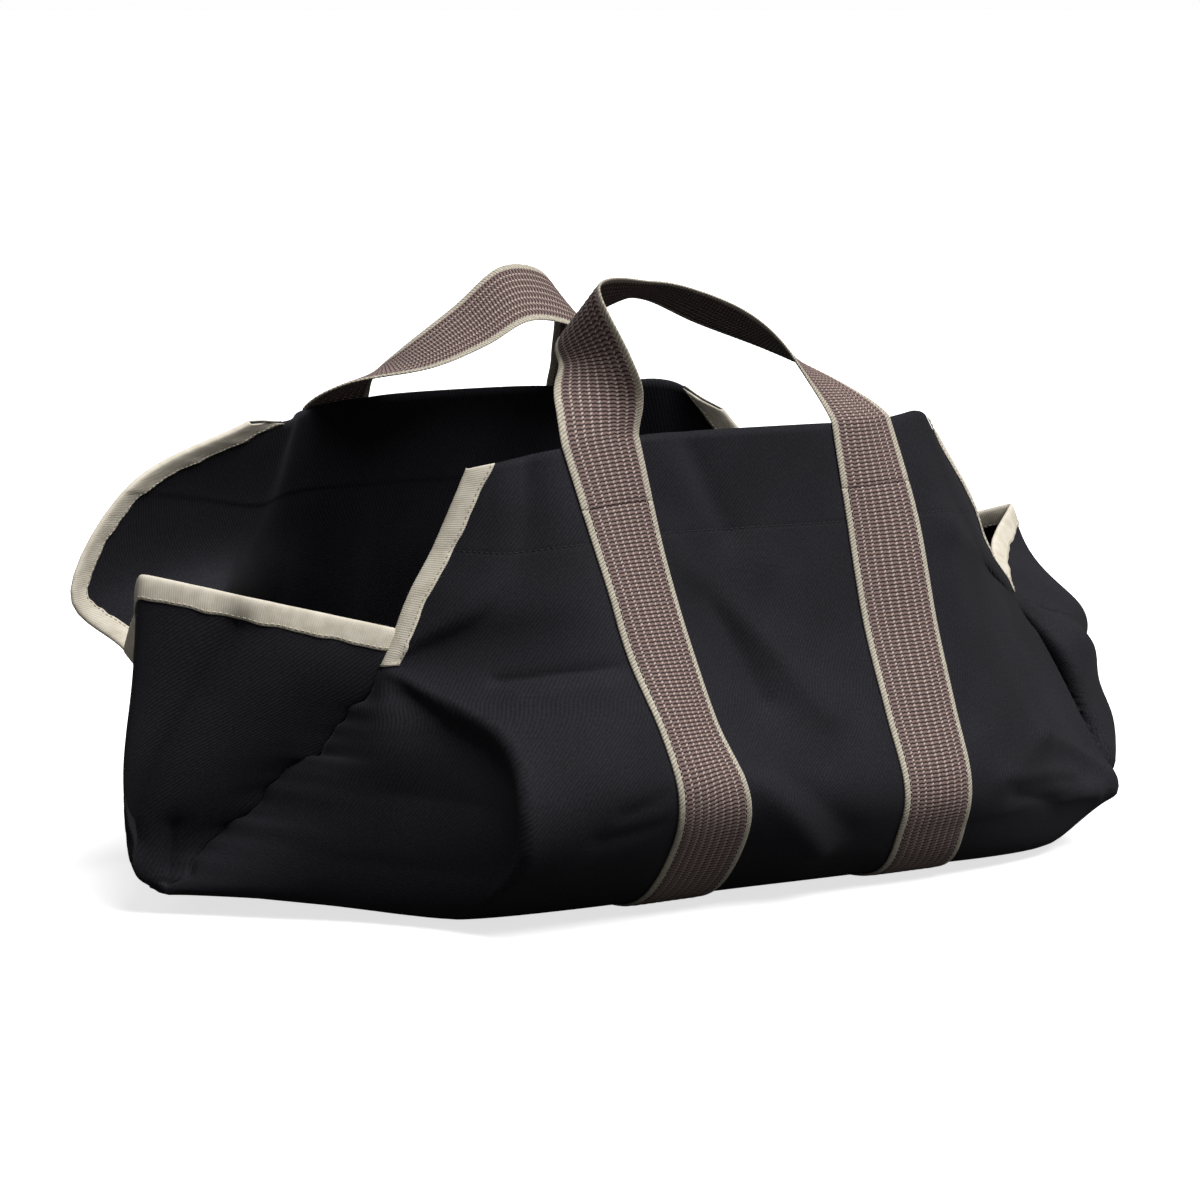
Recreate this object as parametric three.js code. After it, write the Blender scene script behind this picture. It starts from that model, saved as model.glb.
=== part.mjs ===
// Log carrier: an open black cloth bag that stands on its two webbing straps.
// Millimetres, +Z up, +X along the bag, the front wall towards -Y, floor at z = 0.
import * as THREE from 'three';

// Driving sizes
const clothThickness = 1.5;
const webWidth = 50;
const webThickness = 2;
const tapeWidth = 12.5;
const tapeThickness = 0.8;
const gap = 0.3;
const tapeGap = 0.5;
const seamInset = 1.6;
const notchInset = 5;
const centreX = 17;
const baseHeight = webThickness + gap + clothThickness / 2;

// Grid steps
const stepsPerSection = 3;
const sideCells = 7;
const middleCells = 6;
const endCells = 14;
const endRows = 14;
const handleSteps = 26;

// The front half of the bag, one row for each section from the rim down and under to the middle of the base.
// Each column is a line that runs along the wrap: the cut edge or seam at each end, the corner crease,
// and the middle of each strap. The two turns face each strap's width about the vertical, in degrees,
// and the two bulges swell the cheek between the crease and the edge.
const frontSections = [
  { at: 'rim', leftEdge: [-166, -106, 253], leftCorner: [-140, -121, 259], leftStrap: [-98, -137, 267],
    rightStrap: [88, -139, 267], rightCorner: [142, -124, 268], rightEdge: [176, -106, 249],
    leftTurn: -2, rightTurn: 10, leftBulge: 2, rightBulge: 0 },
  { at: 'hem', leftEdge: [-183, -98, 210], leftCorner: [-152, -135, 210], leftStrap: [-93, -153, 216],
    rightStrap: [90, -156, 214], rightCorner: [162, -138, 209], rightEdge: [209, -99, 209],
    leftTurn: 11, rightTurn: -9, leftBulge: 3, rightBulge: 1 },
  { at: 'kink', leftEdge: [-198, -94, 182], leftCorner: [-172, -134, 178], leftStrap: [-90, -166, 183],
    rightStrap: [89, -167, 182], rightCorner: [182, -132, 178], rightEdge: [224, -95, 180],
    leftTurn: 17, rightTurn: -15, leftBulge: 3, rightBulge: 1 },
  { at: 'notch', leftEdge: [-215, -90, 142], leftCorner: [-200, -128, 146], leftStrap: [-87, -181, 150],
    rightStrap: [88, -179, 148], rightCorner: [232, -120, 147], rightEdge: [250, -88, 148],
    leftTurn: 19, rightTurn: -15, leftBulge: 3, rightBulge: 0 },
  { at: 'slope', leftEdge: [-232, -68, 106], leftCorner: [-187, -171, 112], leftStrap: [-83, -200, 112],
    rightStrap: [86, -199, 104], rightCorner: [251, -121, 108], rightEdge: [318, -78, 119],
    leftTurn: 24, rightTurn: -9, leftBulge: 9, rightBulge: 12 },
  { at: 'belly', leftEdge: [-253, -44, 79], leftCorner: [-190, -196, 74], leftStrap: [-78, -214, 79],
    rightStrap: [86, -214, 65], rightCorner: [255, -148, 70], rightEdge: [345, -52, 92],
    leftTurn: 8, rightTurn: -5, leftBulge: 2, rightBulge: 11 },
  { at: 'tuck', leftEdge: [-276, -20, 47], leftCorner: [-189, -186, 42], leftStrap: [-71, -202, 48],
    rightStrap: [88, -207, 38], rightCorner: [253, -176, 37], rightEdge: [352, -28, 58],
    leftTurn: -3, rightTurn: -4, leftBulge: 2, rightBulge: 18 },
  { at: 'foot', leftEdge: [-300, -13, 23], leftCorner: [-190, -134, 8], leftStrap: [-66, -165, 11],
    rightStrap: [94, -180, 9], rightCorner: [211, -174, 8], rightEdge: [346, -14, 26],
    leftTurn: -4, rightTurn: -5, leftBulge: 2, rightBulge: -2 },
  { at: 'base', leftEdge: [-306, -10, 15], leftCorner: [-172, -86, baseHeight],
    leftStrap: [-64, -113, baseHeight], rightStrap: [95, -118, baseHeight],
    rightCorner: [200, -114, baseHeight], rightEdge: [338, -10, 16],
    leftTurn: 0, rightTurn: 0, leftBulge: 4, rightBulge: 2 },
  { at: 'middle', leftEdge: [-307, 0, 13], leftCorner: [-172, 0, baseHeight],
    leftStrap: [-64, 0, baseHeight], rightStrap: [95, 0, baseHeight],
    rightCorner: [200, 0, baseHeight], rightEdge: [338, 0, 14],
    leftTurn: 0, rightTurn: 0, leftBulge: 0, rightBulge: 0 },
];

// The rear half mirrors the front, apart from its left edge, which has flopped outwards.
const rearLeftEdge = {
  rim: [-175, 113, 261],
  hem: [-261, 102, 231],
  kink: [-304, 98, 171],
  notch: [-270, 95, 134],
  slope: [-270, 66, 104],
  belly: [-280, 42, 78],
  tuck: [-288, 20, 47],
};

// The ridge of each end panel, one row for each section from its peak to its foot. The bulge swells the
// cloth between the ridge and each seam.
const ridges = {
  left: [
    { at: 'peak', x: -313, z: 193, bulge: 0 },
    { at: 'slope', x: -318, z: 138, bulge: 3 },
    { at: 'belly', x: -328, z: 84, bulge: 4 },
    { at: 'tuck', x: -330, z: 48, bulge: 4 },
    { at: 'foot', x: -322, z: 25, bulge: 2 },
    { at: 'base', x: -309, z: 15, bulge: 0 },
  ],
  right: [
    { at: 'peak', x: 331, z: 186, bulge: -8 },
    { at: 'slope', x: 349, z: 136, bulge: 16 },
    { at: 'belly', x: 356, z: 88, bulge: 12 },
    { at: 'tuck', x: 353, z: 49, bulge: 6 },
    { at: 'foot', x: 347, z: 26, bulge: 2 },
    { at: 'base', x: 339, z: 15, bulge: 0 },
  ],
};

// Folds of the main panel, from one place to another in columns across and sections along.
// A ridge has a depth above zero and a valley one below it; width and depth in millimetres.
const folds = [
  { name: 'left corner crease', across: [2.0, 2.0], along: [3.6, 6.0], width: 14, depth: 3 },
  { name: 'left corner hollow', across: [1.5, 1.5], along: [3.9, 6.0], width: 28, depth: -14 },
  { name: 'left wall crease', across: [2.45, 2.85], along: [3.2, 3.1], width: 9, depth: -3 },
  { name: 'rim dent', across: [3.33, 3.44], along: [0, 1.2], width: 18, depth: -6 },
  { name: 'pulled ridge', across: [3.14, 3.62], along: [1.0, 4.0], width: 20, depth: 6 },
  { name: 'hollow beside the left strap', across: [3.24, 3.27], along: [0.9, 4.2], width: 26, depth: -4 },
  { name: 'pulled hollow', across: [3.3, 3.42], along: [2.1, 3.7], width: 13, depth: -4 },
  { name: 'belly ridge', across: [3.18, 3.5], along: [5.0, 6.2], width: 16, depth: 5 },
  { name: 'right wall ridge', across: [4.5, 5.6], along: [1.3, 2.8], width: 16, depth: 5 },
  { name: 'right corner crease', across: [5.0, 5.0], along: [3.4, 6.0], width: 14, depth: 3 },
  { name: 'right corner hollow', across: [5.5, 5.45], along: [4.0, 6.2], width: 16, depth: -8 },
  { name: 'rear pulled ridge', across: [3.7, 3.3], along: [16.6, 13.8], width: 22, depth: 6 },
  { name: 'rear left hollow', across: [1.5, 1.5], along: [14.1, 12.0], width: 28, depth: -14 },
  { name: 'rear left crease', across: [2.0, 2.0], along: [14.2, 12.0], width: 18, depth: 6 },
  { name: 'rear right crease', across: [5.0, 5.0], along: [14.4, 12.0], width: 16, depth: 6 },
];

// Folds of the left end panel, in parts of its width and height.
const endFolds = [
  { name: 'slanting hollow', across: [0.3, 0.42], along: [0.06, 0.62], width: 15, depth: -6 },
  { name: 'low hollow', across: [0.26, 0.3], along: [0.6, 0.86], width: 12, depth: -4 },
  { name: 'rear hollow', across: [0.72, 0.62], along: [0.1, 0.6], width: 16, depth: -5 },
];

// The free stretch of each handle, one row for each bend from left to right. The turn is the angle of the
// band's width about the vertical, 0 and 180 where it lies flat on a wall, and the dip lifts its inner edge.
const handles = {
  front: [
    { at: 'left rise', x: -95, y: -132, z: 287, turn: 26, dip: 0 },
    { at: 'left twist', x: -91, y: -122, z: 309, turn: 70, dip: 10 },
    { at: 'left lean', x: -90, y: -106, z: 336, turn: 88, dip: 41 },
    { at: 'left crown', x: -47, y: -97, z: 345, turn: 98, dip: 18 },
    { at: 'crown', x: -20, y: -95, z: 343, turn: 92, dip: 10 },
    { at: 'right crown', x: 15, y: -98, z: 329, turn: 93, dip: 12 },
    { at: 'right lean', x: 49, y: -107, z: 311, turn: 120, dip: 11 },
    { at: 'right rise', x: 77, y: -121, z: 288, turn: 152, dip: 5 },
  ],
  rear: [
    { at: 'left rise', x: -86, y: 127, z: 281, turn: 40, dip: 0 },
    { at: 'left lean', x: -60, y: 106, z: 294, turn: 78, dip: 9 },
    { at: 'left crown', x: -25, y: 100, z: 312, turn: 82, dip: 24 },
    { at: 'crown', x: 8, y: 97, z: 331, turn: 84, dip: 38 },
    { at: 'right crown', x: 44, y: 100, z: 325, turn: 90, dip: 40 },
    { at: 'right lean', x: 74, y: 114, z: 302, turn: 118, dip: 24 },
    { at: 'right rise', x: 88, y: 130, z: 282, turn: 150, dip: 2 },
  ],
};

const columns = [
  'leftEdge', 'leftCheek', 'leftCorner', 'leftStrap', 'rightStrap', 'rightCorner', 'rightCheek', 'rightEdge',
];
const strapColumn = { left: 3, right: 4 };
const sectionIndex = Object.fromEntries(frontSections.map((section, index) => [section.at, index]));
const lastSection = 2 * (frontSections.length - 1);
const stitchSection = 2 / 3;

// How far the middle of each cheek lies from its crease towards the edge
const cheekShare = { left: 0.5, right: 0.62 };

// The sections where the top edge of each end panel meets its two seams
const endTop = { left: { front: 2.8, rear: 2.9 }, right: { front: 2.85, rear: 2.85 } };

function toVector(numbers) {
  return new THREE.Vector3(...numbers);
}

function smoothLine(points) {
  return new THREE.CatmullRomCurve3(points, false, 'catmullrom', 0.5);
}

// The point between a crease and an edge, swelled sideways by the bulge.
function cheekPoint(corner, edge, bulge, share) {
  const chord = edge.clone().sub(corner);
  const side = Math.sign(edge.x);
  const outwards = new THREE.Vector3(Math.abs(chord.y), -Math.abs(chord.x) * Math.sign(chord.y), 0);
  outwards.x *= side;
  outwards.normalize();
  return corner.clone().lerp(edge, share).addScaledVector(outwards, bulge);
}

function sectionLines(section, rear) {
  const mirrored = (numbers) => toVector(rear ? [numbers[0], -numbers[1], numbers[2]] : numbers);
  const lines = {
    leftCorner: mirrored(section.leftCorner),
    leftStrap: mirrored(section.leftStrap),
    rightStrap: mirrored(section.rightStrap),
    rightCorner: mirrored(section.rightCorner),
    leftEdge: mirrored(section.leftEdge),
    rightEdge: mirrored(section.rightEdge),
  };
  if (rear && rearLeftEdge[section.at]) {
    lines.leftEdge = toVector(rearLeftEdge[section.at]);
  }
  lines.leftCheek = cheekPoint(lines.leftCorner, lines.leftEdge, section.leftBulge, cheekShare.left);
  lines.rightCheek = cheekPoint(lines.rightCorner, lines.rightEdge, section.rightBulge, cheekShare.right);
  return lines;
}

const front = frontSections.map((section) => sectionLines(section, false));
const rear = frontSections.slice(0, -1).reverse().map((section) => sectionLines(section, true));
const wrap = [...front, ...rear];
const columnLines = columns.map((name) => smoothLine(wrap.map((lines) => lines[name])));

const turnLines = Object.fromEntries(['left', 'right'].map((side) => {
  const frontTurns = frontSections.map((section) => section[`${side}Turn`]);
  const rearTurns = frontTurns.slice(0, -1).reverse().map((turn) => -turn);
  return [side, smoothLine([...frontTurns, ...rearTurns].map((turn) => new THREE.Vector3(turn, 0, 0)))];
}));

// The direction of a strap's width, turned about the vertical and square to the strap's own run.
function strapWidth(side, along) {
  const share = along / lastSection;
  const angle = THREE.MathUtils.degToRad(turnLines[side].getPoint(share).x);
  const run = columnLines[strapColumn[side]].getTangent(share);
  const width = new THREE.Vector3(Math.cos(angle), Math.sin(angle), 0);
  return width.addScaledVector(run, -width.dot(run)).normalize();
}

// The smooth cloth at a place across (0 to 7 columns) and along (0 to 18 sections). Across each row it runs
// through the columns, and through each strap in the direction of that strap's width.
function clothPoint(across, along) {
  const points = columnLines.map((line) => line.getPoint(along / lastSection));
  const last = points.length - 1;
  const slopeAt = (k) => {
    const before = k > 0 ? points[k - 1] : points[0].clone().multiplyScalar(2).sub(points[1]);
    const after = k < last ? points[k + 1] : points[last].clone().multiplyScalar(2).sub(points[last - 1]);
    const slope = after.clone().sub(before).multiplyScalar(0.5);
    const side = Object.keys(strapColumn).find((name) => strapColumn[name] === k);
    return side ? strapWidth(side, along).multiplyScalar(slope.length()) : slope;
  };
  const k = Math.min(Math.floor(across), last - 1);
  const t = across - k;
  const point = points[k].clone().multiplyScalar((1 + 2 * t) * (1 - t) ** 2)
    .addScaledVector(slopeAt(k), t * (1 - t) ** 2)
    .addScaledVector(points[k + 1], t ** 2 * (3 - 2 * t))
    .addScaledVector(slopeAt(k + 1), t ** 2 * (t - 1));
  point.z = Math.max(point.z, baseHeight);
  return point;
}

function segmentDistance(point, start, end) {
  const span = end.clone().sub(start);
  const share = THREE.MathUtils.clamp(point.clone().sub(start).dot(span) / span.lengthSq(), 0, 1);
  return point.distanceTo(start.clone().addScaledVector(span, share));
}

// How far a set of folds moves the cloth along its normal.
function foldDepth(point, foldLines) {
  let depth = 0;
  for (const fold of foldLines) {
    const distance = segmentDistance(point, fold.start, fold.end);
    depth += fold.depth * Math.exp(-((distance / fold.width) ** 2));
  }
  return depth;
}

function placeFolds(table, surface) {
  return table.map((fold) => ({
    start: surface(fold.across[0], fold.along[0]),
    end: surface(fold.across[1], fold.along[1]),
    width: fold.width,
    depth: fold.depth,
  }));
}

// Normals of a grid of points that runs left to right and downwards along the outside.
function gridNormals(grid) {
  const rows = grid.length;
  return grid.map((row, i) => row.map((_, j) => {
    const along = grid[Math.min(i + 1, rows - 1)][j].clone().sub(grid[Math.max(i - 1, 0)][j]);
    const across = row[Math.min(j + 1, row.length - 1)].clone().sub(row[Math.max(j - 1, 0)]);
    return along.cross(across).normalize();
  }));
}

// Moves the grid along its normals by its folds, but keeps the base flat.
function foldGrid(grid, foldLines) {
  const normals = gridNormals(grid);
  return grid.map((row, i) => row.map((point, j) => {
    const moved = point.clone().addScaledVector(normals[i][j], foldDepth(point, foldLines));
    if (point.z <= baseHeight || moved.z < baseHeight) {
      moved.z = baseHeight;
    }
    return moved;
  }));
}

function toGeometry(positions, faces) {
  const geometry = new THREE.BufferGeometry();
  geometry.setAttribute('position', new THREE.Float32BufferAttribute(positions, 3));
  geometry.setIndex(faces);
  geometry.computeVertexNormals();
  return geometry;
}

function pushQuad(faces, a, b, c, d) {
  faces.push(a, b, c, a, c, d);
}

// A closed sheet between two distances from a grid, measured along its normals
function sheetGeometry(grid, normals, low, high) {
  const rows = grid.length;
  const cells = grid[0].length;
  const layer = (distance) => grid.flatMap((row, i) => row.flatMap(
    (point, j) => point.clone().addScaledVector(normals[i][j], distance).toArray(),
  ));
  const positions = [...layer(high), ...layer(low)];
  const outer = (i, j) => i * cells + j;
  const inner = (i, j) => (rows + i) * cells + j;
  const faces = [];
  for (let i = 0; i + 1 < rows; i += 1) {
    for (let j = 0; j + 1 < cells; j += 1) {
      pushQuad(faces, outer(i, j), outer(i + 1, j), outer(i + 1, j + 1), outer(i, j + 1));
      pushQuad(faces, inner(i, j), inner(i, j + 1), inner(i + 1, j + 1), inner(i + 1, j));
    }
    const last = cells - 1;
    pushQuad(faces, outer(i + 1, 0), outer(i, 0), inner(i, 0), inner(i + 1, 0));
    pushQuad(faces, outer(i, last), outer(i + 1, last), inner(i + 1, last), inner(i, last));
  }
  for (let j = 0; j + 1 < cells; j += 1) {
    const last = rows - 1;
    pushQuad(faces, outer(0, j), outer(0, j + 1), inner(0, j + 1), inner(0, j));
    pushQuad(faces, outer(last, j + 1), outer(last, j), inner(last, j), inner(last, j + 1));
  }
  return toGeometry(positions, faces);
}

// The same faces seen from the other side
function flipFaces(faces) {
  const flipped = [];
  for (let i = 0; i < faces.length; i += 3) {
    flipped.push(faces[i], faces[i + 2], faces[i + 1]);
  }
  return flipped;
}

// A folded tape over a cut edge. Each row gives the edge point, the point one tape width in, and both
// normals. The cells split from the edge inwards, or the other way, as the cloth's cells under them do.
function tapeGeometry(rows, turned, edgeFirst) {
  const inside = clothThickness / 2 + tapeGap;
  const outside = inside + tapeThickness;
  const rings = rows.map(({ edge, inner, edgeNormal, innerNormal }) => {
    const outwards = edge.clone().sub(inner).normalize();
    const near = edge.clone().addScaledVector(outwards, tapeGap);
    const far = edge.clone().addScaledVector(outwards, tapeGap + tapeThickness);
    return [
      inner.clone().addScaledVector(innerNormal, inside),
      inner.clone().addScaledVector(innerNormal, outside),
      far.clone().addScaledVector(edgeNormal, outside),
      far.clone().addScaledVector(edgeNormal, -outside),
      inner.clone().addScaledVector(innerNormal, -outside),
      inner.clone().addScaledVector(innerNormal, -inside),
      near.clone().addScaledVector(edgeNormal, -inside),
      near.clone().addScaledVector(edgeNormal, inside),
    ];
  });
  const size = rings[0].length;
  const startsAtEdge = (j) => j % 4 > 1;
  const faces = [];
  for (let i = 0; i + 1 < rings.length; i += 1) {
    for (let j = 0; j < size; j += 1) {
      const a = i * size + j;
      const b = i * size + ((j + 1) % size);
      if (startsAtEdge(j) === edgeFirst) {
        pushQuad(faces, a, b, b + size, a + size);
      } else {
        pushQuad(faces, b, b + size, a + size, a);
      }
    }
  }
  const last = (rings.length - 1) * size;
  const cap = [[0, 1, 2], [0, 2, 7], [7, 2, 3], [7, 3, 6], [6, 3, 4], [6, 4, 5]];
  for (const [a, b, c] of cap) {
    faces.push(a, c, b, last + a, last + b, last + c);
  }
  const positions = rings.flat().flatMap((point) => point.toArray());
  return toGeometry(positions, turned ? flipFaces(faces) : faces);
}

const materials = {
  cloth: new THREE.MeshStandardMaterial({ color: 0x1c1c20, roughness: 0.85, metalness: 0 }),
  tape: new THREE.MeshStandardMaterial({ color: 0xc4baa4, roughness: 0.8, metalness: 0 }),
  web: new THREE.MeshStandardMaterial({ color: 0x6b5a56, roughness: 0.8, metalness: 0 }),
};

const carrier = new THREE.Group();
carrier.position.x = -centreX;

function addPiece(name, geometry, material) {
  const mesh = new THREE.Mesh(geometry, material);
  mesh.name = name;
  carrier.add(mesh);
}

// Columns of the main panel's grid at one row: a tape width at each edge, and both edges of each strap.
function gridColumns(along) {
  const small = 0.05;
  const reach = (across, length) => {
    const span = clothPoint(across + small, along).distanceTo(clothPoint(across, along));
    return length * small / span;
  };
  const lastColumn = columns.length - 1;
  const leftTape = reach(0, tapeWidth);
  const rightTape = lastColumn - reach(lastColumn - small, tapeWidth);
  const places = [0];
  const spread = (start, end, cells) => {
    for (let k = 0; k <= cells; k += 1) {
      places.push(THREE.MathUtils.lerp(start, end, k / cells));
    }
  };
  const { left, right } = strapColumn;
  const leftHalf = reach(left, webWidth / 2);
  const rightHalf = reach(right, webWidth / 2);
  spread(leftTape, left - leftHalf, sideCells);
  places.push(left);
  spread(left + leftHalf, right - rightHalf, middleCells);
  places.push(right);
  spread(right + rightHalf, rightTape, sideCells);
  places.push(lastColumn);
  return places;
}

const gridAlong = [];
for (let k = 0; k <= lastSection * stepsPerSection; k += 1) {
  gridAlong.push(k / stepsPerSection);
}

// Main panel: front wall, base and rear wall in one cloth
const foldLines = placeFolds(folds, clothPoint);
const smoothGrid = gridAlong.map((along) => gridColumns(along).map((across) => clothPoint(across, along)));
const panelGrid = foldGrid(smoothGrid, foldLines);
const panelNormals = gridNormals(panelGrid);
addPiece(
  'main_panel',
  sheetGeometry(panelGrid, panelNormals, -clothThickness / 2, clothThickness / 2),
  materials.cloth,
);

// Straps: webbing under the bag, from the stitch line on the front wall to the one on the rear wall
const strapStart = { left: 1 + sideCells, right: 3 + sideCells + middleCells };
const firstStrapRow = Math.round(stitchSection * stepsPerSection);
const webLow = clothThickness / 2 + gap;
const webHigh = webLow + webThickness;

function strapRows(side, table) {
  const start = strapStart[side];
  return table.map((row) => row.slice(start, start + 3));
}

for (const side of ['left', 'right']) {
  const points = strapRows(side, panelGrid).slice(firstStrapRow, gridAlong.length - firstStrapRow);
  const normals = strapRows(side, panelNormals).slice(firstStrapRow, gridAlong.length - firstStrapRow);
  addPiece(`strap_${side}`, sheetGeometry(points, normals, webLow, webHigh), materials.web);
}

// Handles: the webbing goes on from the stitch lines, up past the rim and over to the other strap
function handleWallRows(side, rearWall) {
  const points = strapRows(side, panelGrid);
  const normals = strapRows(side, panelNormals);
  const lastRow = points.length - 1;
  const webMiddle = (webLow + webHigh) / 2;
  const rows = [];
  for (let k = firstStrapRow; k >= 0; k -= 1) {
    const row = rearWall ? lastRow - k : k;
    rows.push(points[row].map((point, j) => point.clone().addScaledVector(normals[row][j], webMiddle)));
  }
  const towardsRim = rows[1][1].clone().sub(rows[0][1]).setLength(gap);
  rows[0].forEach((point) => point.add(towardsRim));
  return rows;
}

function widthDirection(turn, dip, rearWall) {
  const angle = THREE.MathUtils.degToRad(turn);
  const lift = THREE.MathUtils.degToRad(dip);
  const side = rearWall ? 1 : -1;
  return new THREE.Vector3(
    Math.cos(angle) * Math.cos(lift), side * Math.sin(angle) * Math.cos(lift), Math.sin(lift),
  );
}

for (const [wall, bends] of Object.entries(handles)) {
  const rearWall = wall === 'rear';
  const leftRows = handleWallRows('left', rearWall);
  const rightRows = handleWallRows('right', rearWall);
  const leftTop = leftRows[leftRows.length - 1];
  const rightTop = rightRows[rightRows.length - 1];
  const wallTurn = (row) => {
    const width = row[2].clone().sub(row[0]);
    return THREE.MathUtils.radToDeg(Math.atan2((rearWall ? 1 : -1) * width.y, width.x));
  };
  const middles = [
    leftRows[leftRows.length - 2][1], leftTop[1],
    ...bends.map((bend) => new THREE.Vector3(bend.x, bend.y, bend.z)),
    rightTop[1], rightRows[rightRows.length - 2][1],
  ];
  const leftTurn = wallTurn(leftTop);
  const rightTurn = 180 + wallTurn(rightTop);
  const turns = [leftTurn, leftTurn, ...bends.map((bend) => bend.turn), rightTurn, rightTurn];
  const dips = [0, 0, ...bends.map((bend) => bend.dip), 0, 0];
  const middleLine = smoothLine(middles);
  const twistLine = smoothLine(turns.map((turn, k) => new THREE.Vector3(turn, dips[k], 0)));
  const spans = middles.length - 1;
  const freeRows = [];
  for (let k = 1; k < handleSteps; k += 1) {
    const share = THREE.MathUtils.lerp(1 / spans, 1 - 1 / spans, k / handleSteps);
    const middle = middleLine.getPoint(share);
    const twist = twistLine.getPoint(share);
    const half = widthDirection(twist.x, twist.y, rearWall).multiplyScalar(webWidth / 2);
    freeRows.push([middle.clone().sub(half), middle, middle.clone().add(half)]);
  }
  const grid = [...leftRows, ...freeRows, ...rightRows.reverse().map((row) => [...row].reverse())];
  const facing = rearWall ? grid.map((row) => [...row].reverse()) : grid;
  facing.reverse();
  addPiece(
    `handle_${wall}`,
    sheetGeometry(facing, gridNormals(facing), -webThickness / 2, webThickness / 2),
    materials.web,
  );
}

// Bindings of the four sloping edges of the walls
const lastTapeRow = sectionIndex.notch * stepsPerSection;

function panelTapeRows(side, rearWall) {
  const lastRow = panelGrid.length - 1;
  const lastColumn = panelGrid[0].length - 1;
  const [edgeColumn, innerColumn] = side === 'left' ? [0, 1] : [lastColumn, lastColumn - 1];
  const rows = [];
  for (let k = 0; k <= lastTapeRow; k += 1) {
    const row = rearWall ? lastRow - k : k;
    rows.push({
      edge: panelGrid[row][edgeColumn],
      inner: panelGrid[row][innerColumn],
      edgeNormal: panelNormals[row][edgeColumn],
      innerNormal: panelNormals[row][innerColumn],
    });
  }
  return rows;
}

for (const side of ['left', 'right']) {
  for (const wall of ['front', 'rear']) {
    const turned = (side === 'left') !== (wall === 'front');
    addPiece(
      `binding_${wall}_${side}`,
      tapeGeometry(panelTapeRows(side, wall === 'rear'), turned, !turned),
      materials.tape,
    );
  }
}

// End panels: the three-cornered cloth between the two seams of each end, with a bound top edge
function endSurface(side) {
  const table = ridges[side];
  const across = side === 'left' ? 0 : columns.length - 1;
  const lastSeamSection = sectionIndex[table[table.length - 1].at];
  const ridgeLine = smoothLine(table.map((row) => new THREE.Vector3(row.x, row.bulge, row.z)));
  return (share, height) => {
    const ridge = ridgeLine.getPoint(height);
    const frontAlong = THREE.MathUtils.lerp(endTop[side].front, lastSeamSection, height);
    const rearAlong = THREE.MathUtils.lerp(endTop[side].rear, lastSeamSection, height);
    const top = new THREE.Vector3(ridge.x, 0, ridge.z);
    const frontSeam = columnLines[across].getPoint(frontAlong / lastSection);
    const rearSeam = columnLines[across].getPoint(1 - rearAlong / lastSection);
    const swelled = (seam) => {
      const outwards = new THREE.Vector3(Math.sign(ridge.x), Math.sign(seam.y), 0).normalize();
      return seam.clone().lerp(top, 0.5).addScaledVector(outwards, ridge.y);
    };
    const row = smoothLine([frontSeam, swelled(frontSeam), top, swelled(rearSeam), rearSeam]);
    return row.getPoint(share);
  };
}

for (const side of ['left', 'right']) {
  const surface = endSurface(side);
  const lines = side === 'left' ? placeFolds(endFolds, surface) : [];
  const grid = [];
  const nearEnd = 0.05;
  const stretch = (from, to) => surface(0.5, from).distanceTo(surface(0.5, to)) / (to - from);
  const tapeHeight = tapeWidth / stretch(0, nearEnd);
  const footHeight = 1 - seamInset / stretch(1 - nearEnd, 1);
  const heights = [0];
  for (let k = 0; k <= endRows; k += 1) {
    heights.push(THREE.MathUtils.lerp(tapeHeight, footHeight, k / endRows));
  }
  for (const level of heights) {
    const length = surface(0, level).distanceTo(surface(0.5, level)) * 2;
    const inset = (level > tapeHeight ? seamInset : notchInset) / length;
    const row = [];
    for (let k = 0; k <= endCells; k += 1) {
      row.push(surface(THREE.MathUtils.lerp(inset, 1 - inset, k / endCells), level));
    }
    grid.push(side === 'left' ? row.reverse() : row);
  }
  const folded = foldGrid(grid, lines);
  const normals = gridNormals(folded);
  addPiece(
    `end_panel_${side}`,
    sheetGeometry(folded, normals, -clothThickness / 2, clothThickness / 2),
    materials.cloth,
  );
  const tapeRows = folded[0].map((edge, j) => ({
    edge,
    inner: folded[1][j],
    edgeNormal: normals[0][j],
    innerNormal: normals[1][j],
  }));
  addPiece(
    `binding_end_${side}`,
    tapeGeometry(tapeRows, true, true),
    materials.tape,
  );
}

export default carrier;
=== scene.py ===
import math
from functools import partial

import bpy
import numpy as np
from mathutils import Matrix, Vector


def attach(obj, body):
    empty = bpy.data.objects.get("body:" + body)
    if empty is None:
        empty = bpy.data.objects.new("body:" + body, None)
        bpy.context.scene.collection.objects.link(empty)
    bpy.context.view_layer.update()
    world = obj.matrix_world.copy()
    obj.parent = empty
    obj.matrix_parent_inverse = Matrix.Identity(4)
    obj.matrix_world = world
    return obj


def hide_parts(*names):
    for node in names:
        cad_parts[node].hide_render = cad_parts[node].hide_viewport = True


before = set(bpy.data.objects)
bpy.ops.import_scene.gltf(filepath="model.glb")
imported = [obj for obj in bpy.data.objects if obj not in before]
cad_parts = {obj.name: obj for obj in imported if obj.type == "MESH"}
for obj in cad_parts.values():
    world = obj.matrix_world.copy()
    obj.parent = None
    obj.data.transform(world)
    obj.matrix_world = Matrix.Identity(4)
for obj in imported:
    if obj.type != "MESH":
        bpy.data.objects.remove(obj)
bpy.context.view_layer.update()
print("frame loaded:", len(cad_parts), "solids")

scene = bpy.context.scene
mm = 0.001
shiftX = 17.0  # mm; the tables below measure x from a point this far left of the part's origin


def addObject(name, data):
    thing = bpy.data.objects.new(name, data)
    scene.collection.objects.link(thing)
    return thing


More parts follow.
